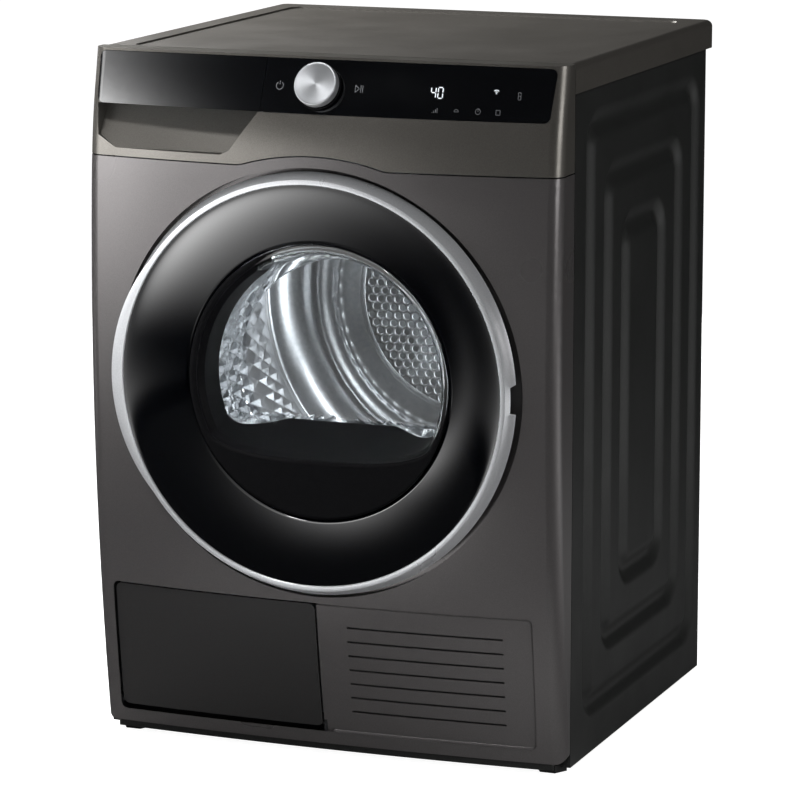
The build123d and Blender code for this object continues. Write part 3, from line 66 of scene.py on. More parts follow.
def addNode(tree, kind, sources, **settings):  # kind is the node's type after the word ShaderNode
    node = tree.nodes.new("ShaderNode" + kind)
    for key, value in settings.items():
        setattr(node, key, value)
    feed(tree, node, sources)
    return node


def newMaterial(name, sockets):
    material = bpy.data.materials.new(name)
    material.use_nodes = True
    shader = material.node_tree.nodes["Principled BSDF"]
    feed(material.node_tree, shader, sockets)
    return material, material.node_tree, shader


mixShare, mixFrom, mixTo, mixOut = 0, 6, 7, 2  # sockets of a colour Mix node
noiseLook = {"grainDetail": 3.0, "cloudDetail": 2.0, "grainSpan": (0.35, 0.65), "cloudSpan": (0.3, 0.7),
             "bumpMm": 0.2}


# A finish is fine grain over slow clouds: grain speckles the colour and lifts the bump, clouds move the
# roughness. Flake and grain finer than about a millimetre wouldn't show and are drawn that coarse.
def makeFinish(name, look):
    material, tree, shader = newMaterial(name, look["set"])
    place = addNode(tree, "TexCoord", {}).outputs["Object"]
    drawn = addNode(tree, "Mapping", {"Vector": place, "Scale": look.get("drawn", (1, 1, 1))})
    grain = addNode(tree, "TexNoise", {
        "Vector": drawn.outputs[0], "Scale": 1 / (look["grainMm"] * mm), "Detail": noiseLook["grainDetail"]})
    cloud = addNode(tree, "TexNoise", {
        "Vector": place, "Scale": 1 / (look["cloudMm"] * mm), "Detail": noiseLook["cloudDetail"]})
    grainLow, grainHigh = noiseLook["grainSpan"]
    speck = addNode(tree, "MapRange", {
        "Value": grain.outputs["Fac"], "From Min": grainLow, "From Max": grainHigh})
    colourLow, colourHigh = (hexLinear(text) for text in look["colours"])
    colour = addNode(tree, "Mix", {
        mixShare: speck.outputs[0], mixFrom: colourLow, mixTo: colourHigh}, data_type="RGBA")
    cloudLow, cloudHigh = noiseLook["cloudSpan"]
    smooth, dull = look["rough"]
    rough = addNode(tree, "MapRange", {
        "Value": cloud.outputs["Fac"], "From Min": cloudLow, "From Max": cloudHigh,
        "To Min": smooth, "To Max": dull})
    bump = addNode(tree, "Bump", {
        "Height": grain.outputs["Fac"], "Strength": look["bump"],
        "Distance": look.get("bumpMm", noiseLook["bumpMm"]) * mm})
    feed(tree, shader, {"Base Color": colour.outputs[mixOut], "Roughness": rough.outputs[0],
                        "Normal": bump.outputs[0]})
    return material


finishes = {
    # Stove-enamelled steel with metal flake: deep warm grey with a soft metallic sweep of light
    "enamelledSteel": {
        "colours": ("#615e5e", "#686565"), "rough": (0.27, 0.3), "grainMm": 1.2, "cloudMm": 160,
        "bump": 0.008, "set": {"Metallic": 0.6, "Coat Weight": 0.25, "Coat Roughness": 0.2}},
    # Powder-coated side sheet: darker, flat sheen with a fine orange peel
    "powderCoat": {
        "colours": ("#242524", "#2c2d2c"), "rough": (0.38, 0.46), "grainMm": 1.6, "cloudMm": 80,
        "bump": 0.08, "set": {"Metallic": 0.2}},
    # Painted ABS of the control panel: warm grey with flake
    "paintedAbs": {
        "colours": ("#6a6762", "#75726d"), "rough": (0.32, 0.38), "grainMm": 1.2, "cloudMm": 60,
        "bump": 0.03, "set": {"Metallic": 0.72, "Coat Weight": 0.15, "Coat Roughness": 0.25}},
    # Grained top sheet: a spark-eroded texture that breaks up the light
    "grainedTop": {
        "colours": ("#4a4743", "#595651"), "rough": (0.42, 0.5), "grainMm": 1.4, "cloudMm": 90,
        "bump": 0.25, "bumpMm": 0.3, "set": {"Metallic": 0.45}},
    # Spray-painted flap: satin charcoal. The louvre blades take it as painted shade, darker than the grille's
    # paint
    "satinCharcoal": {
        "colours": ("#2b2a2a", "#313030"), "rough": (0.36, 0.42), "grainMm": 1.2, "cloudMm": 50,
        "bump": 0.04, "set": {"Metallic": 0.15}},
    # Piano black acrylic: near black with a clear hard gloss
    "pianoBlack": {
        "colours": ("#020306", "#030407"), "rough": (0.08, 0.12), "grainMm": 8.0, "cloudMm": 70,
        "bump": 0.01, "bumpMm": 0.1, "set": {"IOR": 1.9, "Coat Weight": 1.0, "Coat Roughness": 0.08}},
    # Satin plated ABS of the door ring: bright, slightly frosted metal
    "satinPlate": {
        "colours": ("#d2d4d7", "#dbdde0"), "rough": (0.27, 0.33), "grainMm": 1.5, "cloudMm": 60,
        "bump": 0.02, "bumpMm": 0.1, "set": {"Metallic": 0.6}},
    # Stainless drum sheet: cold-rolled, drawn along the depth, with soft mirror-like bands
    "stainlessDrum": {
        "colours": ("#b4b5b7", "#c6c7c9"), "rough": (0.12, 0.18), "grainMm": 6.0, "cloudMm": 60,
        "drawn": (4.0, 1.0, 4.0), "bump": 0.02, "set": {"Metallic": 1.0}},
    # Stainless rear wall: the same sheet with a duller, greyer pickled face
    "pickledSteel": {
        "colours": ("#525457", "#606265"), "rough": (0.28, 0.36), "grainMm": 5.0, "cloudMm": 50,
        "bump": 0.03, "set": {"Metallic": 1.0}},
    # Fine grained ABS: charcoal, broken dull sheen
    "grainedAbs": {
        "colours": ("#1a1b1d", "#212224"), "rough": (0.4, 0.48), "grainMm": 0.9, "cloudMm": 40,
        "bump": 0.12, "set": {"IOR": 1.52}},
    # Smoked ABS round the window: black with hardly any gloss
    "smokedAbs": {
        "colours": ("#0b0b0d", "#0e0e10"), "rough": (0.46, 0.54), "grainMm": 5.0, "cloudMm": 50,
        "bump": 0.02, "bumpMm": 0.1, "set": {"Specular IOR Level": 0.06}},
    # Natural polypropylene: grey moulded inner parts with a waxy sheen
    "greyPolypropylene": {
        "colours": ("#8a8d90", "#979a9c"), "rough": (0.42, 0.52), "grainMm": 1.5, "cloudMm": 50,
        "bump": 0.08, "set": {"IOR": 1.49}},
    # Milky polypropylene of the water tank: cloudy pale grey that lets some light through
    "milkyPolypropylene": {
        "colours": ("#98a1a6", "#a6afb3"), "rough": (0.3, 0.4), "grainMm": 3.0, "cloudMm": 60,
        "bump": 0.04, "set": {"IOR": 1.49, "Transmission Weight": 0.25}},
    # Galvanised sheet: cool grey with faint crystal clouds
    "galvanisedSheet": {
        "colours": ("#8b9094", "#a7acb0"), "rough": (0.3, 0.44), "grainMm": 9.0, "cloudMm": 30,
        "bump": 0.03, "bumpMm": 0.1, "set": {"Metallic": 0.9}},
    # Moulded rubber: black, dull and slightly dusty
    "mouldedRubber": {
        "colours": ("#151515", "#1e1e1e"), "rough": (0.65, 0.78), "grainMm": 1.5, "cloudMm": 30,
        "bump": 0.1, "set": {"IOR": 1.52}},
    # Hard black nylon of the feet: even and dull
    "blackNylon": {
        "colours": ("#131313", "#1b1b1b"), "rough": (0.5, 0.6), "grainMm": 1.0, "cloudMm": 20,
        "bump": 0.08, "set": {"IOR": 1.53}},
    # Pressed wool felt: fuzzy beige, with sheen at the edges
    "woolFelt": {
        "colours": ("#8f8778", "#b0a898"), "rough": (0.85, 0.95), "grainMm": 1.2, "cloudMm": 20,
        "bump": 0.5, "bumpMm": 0.5, "set": {"Sheen Weight": 0.4}},
    # Mill-finish aluminium fins: pale grey with a soft shine
    "millAluminium": {
        "colours": ("#b9bdc0", "#cfd2d4"), "rough": (0.3, 0.42), "grainMm": 3.0, "cloudMm": 30,
        "bump": 0.05, "bumpMm": 0.1, "set": {"Metallic": 1.0}},
    # Black stove enamel of the compressor: half gloss
    "stoveBlack": {
        "colours": ("#0e0e10", "#161618"), "rough": (0.25, 0.35), "grainMm": 2.0, "cloudMm": 40,
        "bump": 0.1, "set": {"IOR": 1.5}},
    # Drawn copper tube, lightly tarnished: warm red-brown shine
    "drawnCopper": {
        "colours": ("#a8613f", "#c57a52"), "rough": (0.22, 0.36), "grainMm": 6.0, "cloudMm": 20,
        "bump": 0.02, "bumpMm": 0.1, "set": {"Metallic": 1.0}},
    # Solder-masked circuit board: green under a thin lacquer
    "solderMask": {
        "colours": ("#123c20", "#1c5730"), "rough": (0.3, 0.4), "grainMm": 2.5, "cloudMm": 12,
        "bump": 0.2, "set": {"IOR": 1.55}},
    # Frosted lamp lens: evenly bright, warm white
    "frostedLens": {
        "colours": ("#e8e6dc", "#f4f2ea"), "rough": (0.4, 0.5), "grainMm": 1.5, "cloudMm": 10,
        "bump": 0.1, "set": {"Emission Color": hexLinear("#fff6e6"), "Emission Strength": 1.5}},
    # Lit marks behind the glass: cool white diffused light
    "whiteLed": {
        "colours": ("#e4e9ee", "#eef2f6"), "rough": (0.4, 0.5), "grainMm": 1.0, "cloudMm": 8,
        "bump": 0.0, "set": {"Emission Color": hexLinear("#e8eef4"), "Emission Strength": 0.6}},
    # Printed marks under the gloss: dim grey ink
    "printedInk": {
        "colours": ("#6c6e72", "#7a7c80"), "rough": (0.35, 0.45), "grainMm": 1.0, "cloudMm": 8,
        "bump": 0.0, "set": {"IOR": 1.5}},
}
materials = {name: makeFinish(name, look) for name, look in finishes.items()}

# Pressed soda glass of the window bowl: clear, faintly grey, with slow ripples from the mould
glassLook = {"tint": "#e9eeee", "ior": 1.45, "rippleMm": 40.0, "bump": 0.02, "bumpMm": 1.0}
materials["pressedGlass"], glassTree, glassShader = newMaterial("pressedGlass", {
    "Base Color": hexLinear(glassLook["tint"]), "Roughness": 0.0, "IOR": glassLook["ior"],
    "Transmission Weight": 1.0})
glassPlace = addNode(glassTree, "TexCoord", {}).outputs["Object"]
ripple = addNode(glassTree, "TexNoise", {"Vector": glassPlace, "Scale": 1 / (glassLook["rippleMm"] * mm)})
rippleBump = addNode(glassTree, "Bump", {
    "Height": ripple.outputs["Fac"], "Strength": glassLook["bump"], "Distance": glassLook["bumpMm"] * mm})
feed(glassTree, glassShader, {"Normal": rippleBump.outputs[0]})

# Spun aluminium of the dial: turning rings, drawn coarse enough to show, give two bright wedges that meet at
# the centre
spunLook = {"colours": ("#c6c9cd", "#e4e6e9"), "capMm": 26.5, "ringMm": 0.55, "drift": 0.2, "detail": 2.0,
            "bump": 0.08, "bumpMm": 0.05, "set": {"Metallic": 0.85, "Roughness": 0.4, "Anisotropic": 0.6}}
materials["spunAluminium"], spunTree, spunShader = newMaterial("spunAluminium", spunLook["set"])
dialUv = addNode(spunTree, "UVMap", {}, uv_map="turning")
ringPlace = addNode(spunTree, "Mapping", {
    "Vector": dialUv.outputs[0], "Scale": (spunLook["drift"], spunLook["capMm"] / spunLook["ringMm"], 1.0)})
rings = addNode(spunTree, "TexNoise", {
    "Vector": ringPlace.outputs[0], "Scale": 1.0, "Detail": spunLook["detail"]})
spunDark, spunPale = (hexLinear(text) for text in spunLook["colours"])
ringColour = addNode(spunTree, "Mix", {
    mixShare: rings.outputs["Fac"], mixFrom: spunDark, mixTo: spunPale}, data_type="RGBA")
ringTangent = addNode(spunTree, "Tangent", {}, direction_type="UV_MAP", uv_map="turning")
ringBump = addNode(spunTree, "Bump", {
    "Height": rings.outputs["Fac"], "Strength": spunLook["bump"], "Distance": spunLook["bumpMm"] * mm})
feed(spunTree, spunShader, {"Base Color": ringColour.outputs[mixOut], "Tangent": ringTangent.outputs[0],
                            "Normal": ringBump.outputs[0]})

nodeFinish = {
    "enamelledSteel": ["front_panel", "intake_grille"],
    "powderCoat": ["side_panel_left", "side_panel_right"],
    "paintedAbs": ["control_panel"],
    "grainedTop": ["top_cover"],
    "satinCharcoal": ["service_flap"],
    "pianoBlack": ["control_glass", "tank_front", "door_bezel"],
    "satinPlate": ["door_ring"],
    "stainlessDrum": ["drum_shell", "drum_lifters"],
    "pickledSteel": ["drum_back"],
    "pressedGlass": ["door_window"],
    "grainedAbs": ["door_plate", "door_liner", "door_mouth", "door_latch", "mains_inlet", "lint_filter",
                   "base_tray"],
    "spunAluminium": ["dial_knob"],
    "greyPolypropylene": ["tank_chute", "exchanger_housing", "exchanger_cover", "blower_housing",
                          "condensate_pump", "cover_latch_left", "cover_latch_right", "fan_impeller",
                          "idler_wheel"],
    "milkyPolypropylene": ["tank_body"],
    "galvanisedSheet": ["front_bulkhead", "rear_bulkhead", "back_panel", "rear_duct_cover", "roller_axles",
                        "case_screws", "hinge_bracket", "door_hinge", "motor_rotor", "drive_motor"],
    "mouldedRubber": ["door_seal", "drive_belt", "drum_roller_left", "drum_roller_right", "compressor_mounts",
                      "drain_hose"],
    "blackNylon": ["foot_front_left", "foot_front_right", "foot_back_left", "foot_back_right"],
    "woolFelt": ["drum_seals"],
    "millAluminium": ["evaporator", "condenser"],
    "stoveBlack": ["compressor"],
    "drawnCopper": ["refrigerant_pipes"],
    "solderMask": ["control_board"],
    "frostedLens": ["drum_lamp"],
}
for finish, names in nodeFinish.items():
    for name in names:
        for materialSlot in frame["nodes"][name].material_slots:
            materialSlot.material = materials[finish]
print("finishes:", len(materials))

creaseAngle = np.radians(35)


def meshPiece(name, points, faces):  # arrays of points and of equal-sided faces, smooth between creases
    mesh = bpy.data.meshes.new(name)
    mesh.vertices.add(len(points))
    mesh.vertices.foreach_set("co", points.astype(np.float32).ravel())
    mesh.loops.add(faces.size)
    mesh.loops.foreach_set("vertex_index", faces.astype(np.int32).ravel())
    mesh.polygons.add(len(faces))
    mesh.polygons.foreach_set("loop_start", np.arange(0, faces.size, faces.shape[1], dtype=np.int32))
    mesh.polygons.foreach_set("use_smooth", np.ones(len(faces), dtype=bool))
    mesh.update(calc_edges=True)
    mesh.set_sharp_from_angle(angle=creaseAngle)
    piece = bpy.data.objects.new(name, mesh)
    bpy.context.scene.collection.objects.link(piece)
    return piece


# Grid of points to quads: each quad joins four neighbours, and a closed side wraps to the first row or column
def gridFaces(rows, columns, closeRows=False, closeColumns=False):
    ids = np.arange(rows * columns).reshape(rows, columns)
    ids = np.vstack([ids, ids[:1]]) if closeRows else ids
    ids = np.hstack([ids, ids[:, :1]]) if closeColumns else ids
    return np.stack([ids[:-1, :-1], ids[1:, :-1], ids[1:, 1:], ids[:-1, 1:]], -1).reshape(-1, 4)


def gridPiece(name, points, closeRows=False, closeColumns=False):
    return meshPiece(name, points.reshape(-1, 3), gridFaces(*points.shape[:2], closeRows, closeColumns))


def faceOut(piece):  # closed shells only
    shell = bmesh.new()
    shell.from_mesh(piece.data)
    bmesh.ops.recalc_face_normals(shell, faces=shell.faces)
    shell.to_mesh(piece.data)
    shell.free()


def thicken(piece, wall, offset):  # a sheet gets its wall; offset -1 grows it behind its faces
    solid = piece.modifiers.new("wall", "SOLIDIFY")
    solid.thickness = wall
    solid.offset = offset


def dress(piece, body, finish, stoodFor=()):
    piece.data.materials.append(materials[finish])
    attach(piece, body)
    if stoodFor:
        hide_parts(*stoodFor)


# Turned surface: a profile of radius and y carried round an axis along y at height centreZ
def turned(radius, y, centreZ, angle):
    return np.stack(np.broadcast_arrays(radius * np.cos(angle), y, centreZ + radius * np.sin(angle)), -1)


def fullTurn(count):
    return np.linspace(0, 2 * np.pi, count, endpoint=False)


def profile(pairs):  # pairs of radius and height as two columns, to spread along a turn
    return np.array(pairs, float).T[:, :, None]


def ease(x):  # smooth step from 0 to 1
    share = np.clip(x, 0, 1)
    return share * share * (3 - 2 * share)


def swell(x, middle, half):  # soft round ridge
    return np.exp(-((x - middle) / half) ** 2)


drumLow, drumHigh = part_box("drum_shell")
drumZ = (drumLow.z + drumHigh.z) / 2
drumRadius = (drumHigh.x - drumLow.x) / 2
bezelLow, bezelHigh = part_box("door_bezel")
doorZ = (bezelLow.z + bezelHigh.z) / 2
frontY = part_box("door_ring")[0].y
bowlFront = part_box("door_window")[0].y

# Drum sheet: closed profile of outside, rear flange, embossed inside and front lip, carried round the drum's
# axis. The emboss is a checkerboard of peaks and valleys at half-cell steps, split from valley to valley into
# flat facets.
drumLook = {"cellsRound": 78, "frontMargin": 20 * mm, "wideCell": 52 * mm, "wideRows": 12, "fineRows": 4,
            "fineCell": 34 * mm, "embossHigh": 4.2 * mm, "wall": 1 * mm, "lip": 31.5 * mm, "lipTurn": 10 * mm,
            "flange": 16 * mm, "ridges": (11 * mm, 26 * mm), "ridgeHigh": 2 * mm, "ridgeHalf": 3 * mm,
            "smoothRows": 26, "rearGap": 2 * mm}
drumTurn = fullTurn(drumLook["cellsRound"] * 2)
drumDepth = drumHigh.y - drumLow.y
drumWall, lipTurn = drumLook["wall"], drumLook["lipTurn"]
sheetIn = drumRadius - drumWall
lipIn = drumRadius - drumLook["lip"]
flangeIn = drumRadius - drumLook["flange"]
wideAlong = drumLook["frontMargin"] + np.arange(drumLook["wideRows"] + 1) * drumLook["wideCell"] / 2
fineAlong = wideAlong[-1] + np.arange(1, drumLook["fineRows"] + 1) * drumLook["fineCell"] / 2
embossAlong = np.concatenate([wideAlong, fineAlong])
smoothAlong = np.linspace(embossAlong[-1], drumDepth - drumLook["rearGap"], drumLook["smoothRows"] + 1)[1:]
insideAlong = np.concatenate([embossAlong, smoothAlong])[:, None]
embossRow = np.arange(len(embossAlong))[:, None]
flatRow = (embossRow == 0) | (embossRow == drumLook["wideRows"]) | (embossRow == len(embossAlong) - 1)
peak = ((embossRow + np.arange(len(drumTurn))) % 2 == 1) & ~flatRow
ridgeRise = sum(swell(smoothAlong, embossAlong[-1] + ridge, drumLook["ridgeHalf"])
                for ridge in drumLook["ridges"])
ridgeRelief = drumLook["ridgeHigh"] * ridgeRise[:, None] * np.ones(len(drumTurn))
relief = np.vstack([drumLook["embossHigh"] * peak, ridgeRelief])
rimRadius, rimAlong = profile([
    (flangeIn, drumDepth - drumWall), (flangeIn, drumDepth), (drumRadius, drumDepth), (drumRadius, 0),
    (lipIn, 0), (lipIn, lipTurn), (lipIn + drumWall, lipTurn), (lipIn + drumWall, drumWall),
    (sheetIn, drumWall)])
drumPoints = np.concatenate([turned(sheetIn - relief, drumLow.y + insideAlong, drumZ, drumTurn),
                             turned(rimRadius, drumLow.y + rimAlong, drumZ, drumTurn)])
drumQuads = gridFaces(*drumPoints.shape[:2], True, True)
evenCorner = np.add.outer(np.arange(len(drumPoints)), np.arange(len(drumTurn))) % 2 == 0
oneSplit, otherSplit = drumQuads[:, [[0, 1, 2], [0, 2, 3]]], drumQuads[:, [[0, 1, 3], [1, 2, 3]]]
drumFaces = np.where(evenCorner.reshape(-1, 1, 1), oneSplit, otherSplit).reshape(-1, 3)
drumSheet = meshPiece("drumSheet", drumPoints.reshape(-1, 3), drumFaces)
faceOut(drumSheet)
facetCount = (len(embossAlong) - 1) * len(drumTurn) * 2
drumSheet.data.polygons.foreach_set("use_smooth", np.arange(len(drumFaces)) >= facetCount)
dress(drumSheet, "drum", "stainlessDrum", ["drum_shell"])

# Rear wall of the drum: y stands forward by a round corner, a stamped ring, a ring of beads and a brim,
# carried round the axis as far in as the perforated disc
rearLook = {"outer": 276.4 * mm, "inner": 150 * mm, "corner": 40 * mm, "wall": 1.2 * mm, "inset": 3 * mm,
            "ringAt": 216 * mm, "ringHalf": 9 * mm, "ringHigh": 6 * mm, "beadAt": 190 * mm,
            "beadHalf": 5 * mm, "beadHigh": 3.5 * mm, "beads": 60, "beadWave": 0.25, "brimHigh": 5 * mm,
            "brimWide": 9 * mm, "brimRise": 7 * mm, "turns": 300, "rows": 110}
rearY = drumHigh.y - rearLook["inset"]
ringTurn = fullTurn(rearLook["turns"])
ringRadius = np.linspace(rearLook["outer"], rearLook["inner"], rearLook["rows"])[:, None]
corner = np.clip(ringRadius - rearLook["outer"] + rearLook["corner"], 0, rearLook["corner"])
cornerStand = rearLook["corner"] - np.sqrt(np.maximum(rearLook["corner"] ** 2 - corner ** 2, 0))
ringStand = rearLook["ringHigh"] * swell(ringRadius, rearLook["ringAt"], rearLook["ringHalf"])
beadShare = 1 - rearLook["beadWave"] + rearLook["beadWave"] * np.cos(rearLook["beads"] * ringTurn)
beadStand = rearLook["beadHigh"] * swell(ringRadius, rearLook["beadAt"], rearLook["beadHalf"]) * beadShare
brimShare = (rearLook["inner"] + rearLook["brimWide"] - ringRadius) / rearLook["brimRise"]
standing = cornerStand + ringStand + beadStand + rearLook["brimHigh"] * ease(brimShare)
rearRings = gridPiece("rearRings", turned(ringRadius, rearY - standing, drumZ, ringTurn), False, True)
thicken(rearRings, rearLook["wall"], -1)
dress(rearRings, "drum", "pickledSteel", ["drum_back"])

# Perforated disc: a honeycomb of cells, each a twelve-sided hole joined to the twelve points of its hexagon
discLook = {"pitch": 12.4 * mm, "hole": 4.5 * mm, "overlap": 6 * mm, "cells": 16, "sides": 12,
            "weld": 0.01 * mm}
hubLook = {"radius": 46 * mm, "high": 9 * mm, "turns": 96}
pitch, cells, sides = discLook["pitch"], discLook["cells"], discLook["sides"]
row, place = np.mgrid[-cells:cells + 1, -cells:cells + 1]
cellX = (place + 0.5 * (row % 2)) * pitch
cellZ = row * pitch * np.sqrt(3) / 2
cellAway = np.hypot(cellX, cellZ)
kept = cellAway < rearLook["inner"] + discLook["overlap"]
kept = kept & (cellAway > hubLook["radius"] - discLook["overlap"])
middles = np.stack([cellX[kept], cellZ[kept]], -1)[:, None, :]
side = np.arange(sides)
spokes = np.stack([np.cos(fullTurn(sides)), np.sin(fullTurn(sides))], -1)
hexReach = pitch / np.sqrt(3) * np.where(side % 2 == 1, 1, np.cos(np.pi / 6))
rim, hole = middles + hexReach[:, None] * spokes, middles + discLook["hole"] * spokes
flat = np.concatenate([rim, hole], 1).reshape(-1, 2)
outer = np.arange(len(middles))[:, None] * 2 * sides + side
outerNext = outer - side + (side + 1) % sides
quads = np.stack([outer, outerNext, outerNext + sides, outer + sides], -1).reshape(-1, 4)
nearby = np.round(flat / discLook["weld"])
firstOf, welded = np.unique(nearby, axis=0, return_index=True, return_inverse=True)[1:]
discPoints = np.stack([flat[firstOf, 0], np.full(len(firstOf), rearY), drumZ + flat[firstOf, 1]], -1)
rearPerforated = meshPiece("rearPerforated", discPoints, welded.reshape(-1)[quads])
thicken(rearPerforated, rearLook["wall"], -1)
dress(rearPerforated, "drum", "pickledSteel")

# Hub: a shallow cap, as shares of its radius and height, carried round the axis
hubReach, hubStand = profile([(0.001, 1), (0.3, 0.99), (0.6, 0.96), (0.8, 0.9), (0.9, 0.8), (0.97, 0.6),
                              (1, 0.3), (1, -0.3), (0.001, -0.3)])
hubPoints = turned(hubLook["radius"] * hubReach, rearY - hubLook["high"] * hubStand, drumZ,
                   fullTurn(hubLook["turns"]))
rearHub = gridPiece("rearHub", hubPoints, True, True)
faceOut(rearHub)
dress(rearHub, "drum", "grainedAbs")
print("drum done")

# Side sheets: x sinks by a squared sine across each groove, measured inwards from nested rounded rectangles
sideLook = {"deep": 7.5 * mm, "wide": 40 * mm, "nest": 68 * mm, "corner": 46 * mm, "marginFront": 38 * mm,
            "marginBack": 22 * mm, "marginLow": 32 * mm, "marginHigh": 24 * mm, "grooves": 3,
            "flange": 12 * mm, "wall": 1 * mm, "cell": 3 * mm, "skirt": 7 * mm}


def insideBox(y, z, halfY, halfZ, corner):  # how far a point lies inside a rounded rectangle
    outY = np.abs(y) - halfY + corner
    outZ = np.abs(z) - halfZ + corner
    return corner - np.hypot(np.maximum(outY, 0), np.maximum(outZ, 0)) - np.minimum(np.maximum(outY, outZ), 0)


for name, sign in (("side_panel_left", -1), ("side_panel_right", 1)):
    low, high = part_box(name)
    far = max(abs(low.x), abs(high.x))
    yFlat = np.linspace(low.y, high.y, int((high.y - low.y) / sideLook["cell"]))
    z = np.linspace(low.z - sideLook["skirt"], high.z, int((high.z - low.z) / sideLook["cell"]))[:, None]
    y0, y1 = low.y + sideLook["marginFront"], high.y - sideLook["marginBack"]
    z0, z1 = low.z + sideLook["marginLow"], high.z - sideLook["marginHigh"]
    sunk = np.zeros((len(z), len(yFlat)))
    for nested in np.arange(sideLook["grooves"]) * sideLook["nest"]:
        inside = insideBox(yFlat - (y0 + y1) / 2, z - (z0 + z1) / 2, (y1 - y0) / 2 - nested,
                           (z1 - z0) / 2 - nested, sideLook["corner"])
        sunk = sunk + sideLook["deep"] * np.sin(np.pi * np.clip(inside / sideLook["wide"], 0, 1)) ** 2
    turnIn = np.full((len(z), 1), sideLook["flange"])
    xs = sign * (far - np.hstack([turnIn, sunk, turnIn]))
    ys = np.concatenate([[low.y], yFlat, [high.y]])
    sheet = np.stack(np.broadcast_arrays(xs, ys, z), -1)
    pressed = gridPiece("pressed_" + name, sheet if sign < 0 else sheet[:, ::-1])
    thicken(pressed, sideLook["wall"], -1)
    dress(pressed, "cabinet", "powderCoat", [name])
print("side sheets done")

# Door ring: closed profile carried round the door, its outer edge pushed out to a second circle on the grip
# side and its flare cut short where the hinge arm swings
ringLook = {"inner": 240 * mm, "face": 246.5 * mm, "edge": 254 * mm, "deep": 18 * mm, "wall": 3 * mm,
            "soft": 0.9 * mm, "softer": 0.27 * mm, "gripCircle": 215 * mm, "gripOut": 255 * mm,
            "gripDeep": 12 * mm, "gripStep": 0.1 * mm, "hingeHalf": 16.5 * mm, "hingeDeep": 8.5 * mm,
            "turns": 720}
doorTurn = fullTurn(ringLook["turns"])
gripShift = ringLook["gripOut"] - ringLook["gripCircle"]
towards = np.cos(doorTurn)
gripReach = np.sqrt(ringLook["gripCircle"] ** 2 - (gripShift * np.sin(doorTurn)) ** 2) - gripShift * towards
ringInner, ringFace, ringEdge = (ringLook[key] for key in ("inner", "face", "edge"))
ringOuter = np.where(towards < 0, np.maximum(ringFace, gripReach), ringFace)
ringSoft, ringSofter, ringWall = (ringLook[key] for key in ("soft", "softer", "wall"))
ringDeep, gripDeep, hingeDeep = (ringLook[key] for key in ("deep", "gripDeep", "hingeDeep"))
flareAt, hingeAt = (ringFace + (ringEdge - ringFace) * deep / ringDeep for deep in (gripDeep, hingeDeep))
ringProfile = [(ringInner, ringWall), (ringInner, ringSoft), (ringInner + ringSoft, 0),
               (ringOuter - ringSoft, 0), (ringOuter - ringSofter, ringSofter), (ringOuter, ringSoft),
               (np.maximum(ringOuter, flareAt), gripDeep), (flareAt, gripDeep + ringLook["gripStep"]),
               (ringEdge, ringDeep), (ringEdge - ringWall, ringDeep), (ringFace - ringWall / 2, ringWall)]
ringRadii, ringIns = (np.stack([values * np.ones_like(doorTurn) for values in part])
                      for part in zip(*ringProfile))
hinged = (towards > 0) & (np.abs(ringEdge * np.sin(doorTurn)) < ringLook["hingeHalf"])
ringRadii = np.where(hinged, np.minimum(ringRadii, hingeAt), ringRadii)
ringIns = np.where(hinged, np.minimum(ringIns, hingeDeep), ringIns)
ringTrim = gridPiece("ringTrim", turned(ringRadii, frontY + ringIns, doorZ, doorTurn), True, True)
faceOut(ringTrim)
dress(ringTrim, "door", "satinPlate", ["door_ring"])

# Bezel: a dish from the ring to the window, slightly bellied, with a fine step before the window
bezelLook = {"outer": 239.7 * mm, "step": 169 * mm, "stepDown": 0.5 * mm, "stepWide": 0.4 * mm, "lip": 1 * mm,
             "inner": 165.8 * mm, "rimIn": 2.5 * mm, "dishIn": 30.4 * mm, "lastIn": 31.6 * mm, "belly": 1.25,
             "wall": 2.4 * mm, "rows": 40, "turns": 360}
across = np.linspace(0, 1, bezelLook["rows"])
dishRadius = bezelLook["outer"] + (bezelLook["step"] - bezelLook["outer"]) * across
dishIn = bezelLook["rimIn"] + (bezelLook["dishIn"] - bezelLook["rimIn"]) * across ** bezelLook["belly"]
stepIn = bezelLook["dishIn"] + bezelLook["stepDown"]
dishFront = np.array([*zip(dishRadius, dishIn), (bezelLook["step"] - bezelLook["stepWide"], stepIn),
                      (bezelLook["inner"] + bezelLook["lip"], bezelLook["lastIn"]),
                      (bezelLook["inner"], bezelLook["lastIn"] + bezelLook["lip"])])
bezelRadii, bezelIns = profile([*dishFront, *(dishFront[::-1] + (0, bezelLook["wall"]))])
bezelPoints = turned(bezelRadii, frontY + bezelIns, doorZ, fullTurn(bezelLook["turns"]))
bezelDish = gridPiece("bezelDish", bezelPoints, True, True)
faceOut(bezelDish)
dress(bezelDish, "door", "pianoBlack", ["door_bezel"])

# Window bowl: outside and inside walls by depth and radius in mm, each ended by a shallow dome and cut by the
# sloping floor
bowlLook = {"out": ((0, 3, 10, 74, 86), (165.5, 165.5, 159.5, 149.5, 139.5)),
            "in": ((0, 3, 10, 70.5, 82.5), (158.5, 158.5, 152.5, 146, 136)), "crown": 4 * mm,
            "ledgeDrop": 99 * mm, "floorRise": 0.4, "steepest": 0.05, "glass": 3.5 * mm,
            "wallRows": np.linspace(15 * mm, 65 * mm, 6), "domeRows": np.linspace(0.97, 0.0002, 24),
            "turns": 360}
bowlTurn = fullTurn(bowlLook["turns"])


def bowlWall(wall):
    return (np.array(values) * mm for values in bowlLook[wall])


def underFloor(deep, turn, lift):  # distance from the door's axis to the floor, lifted by a wall
    drop = bowlLook["ledgeDrop"] - bowlLook["floorRise"] * deep - lift
    return drop / np.maximum(-np.sin(turn), bowlLook["steepest"])


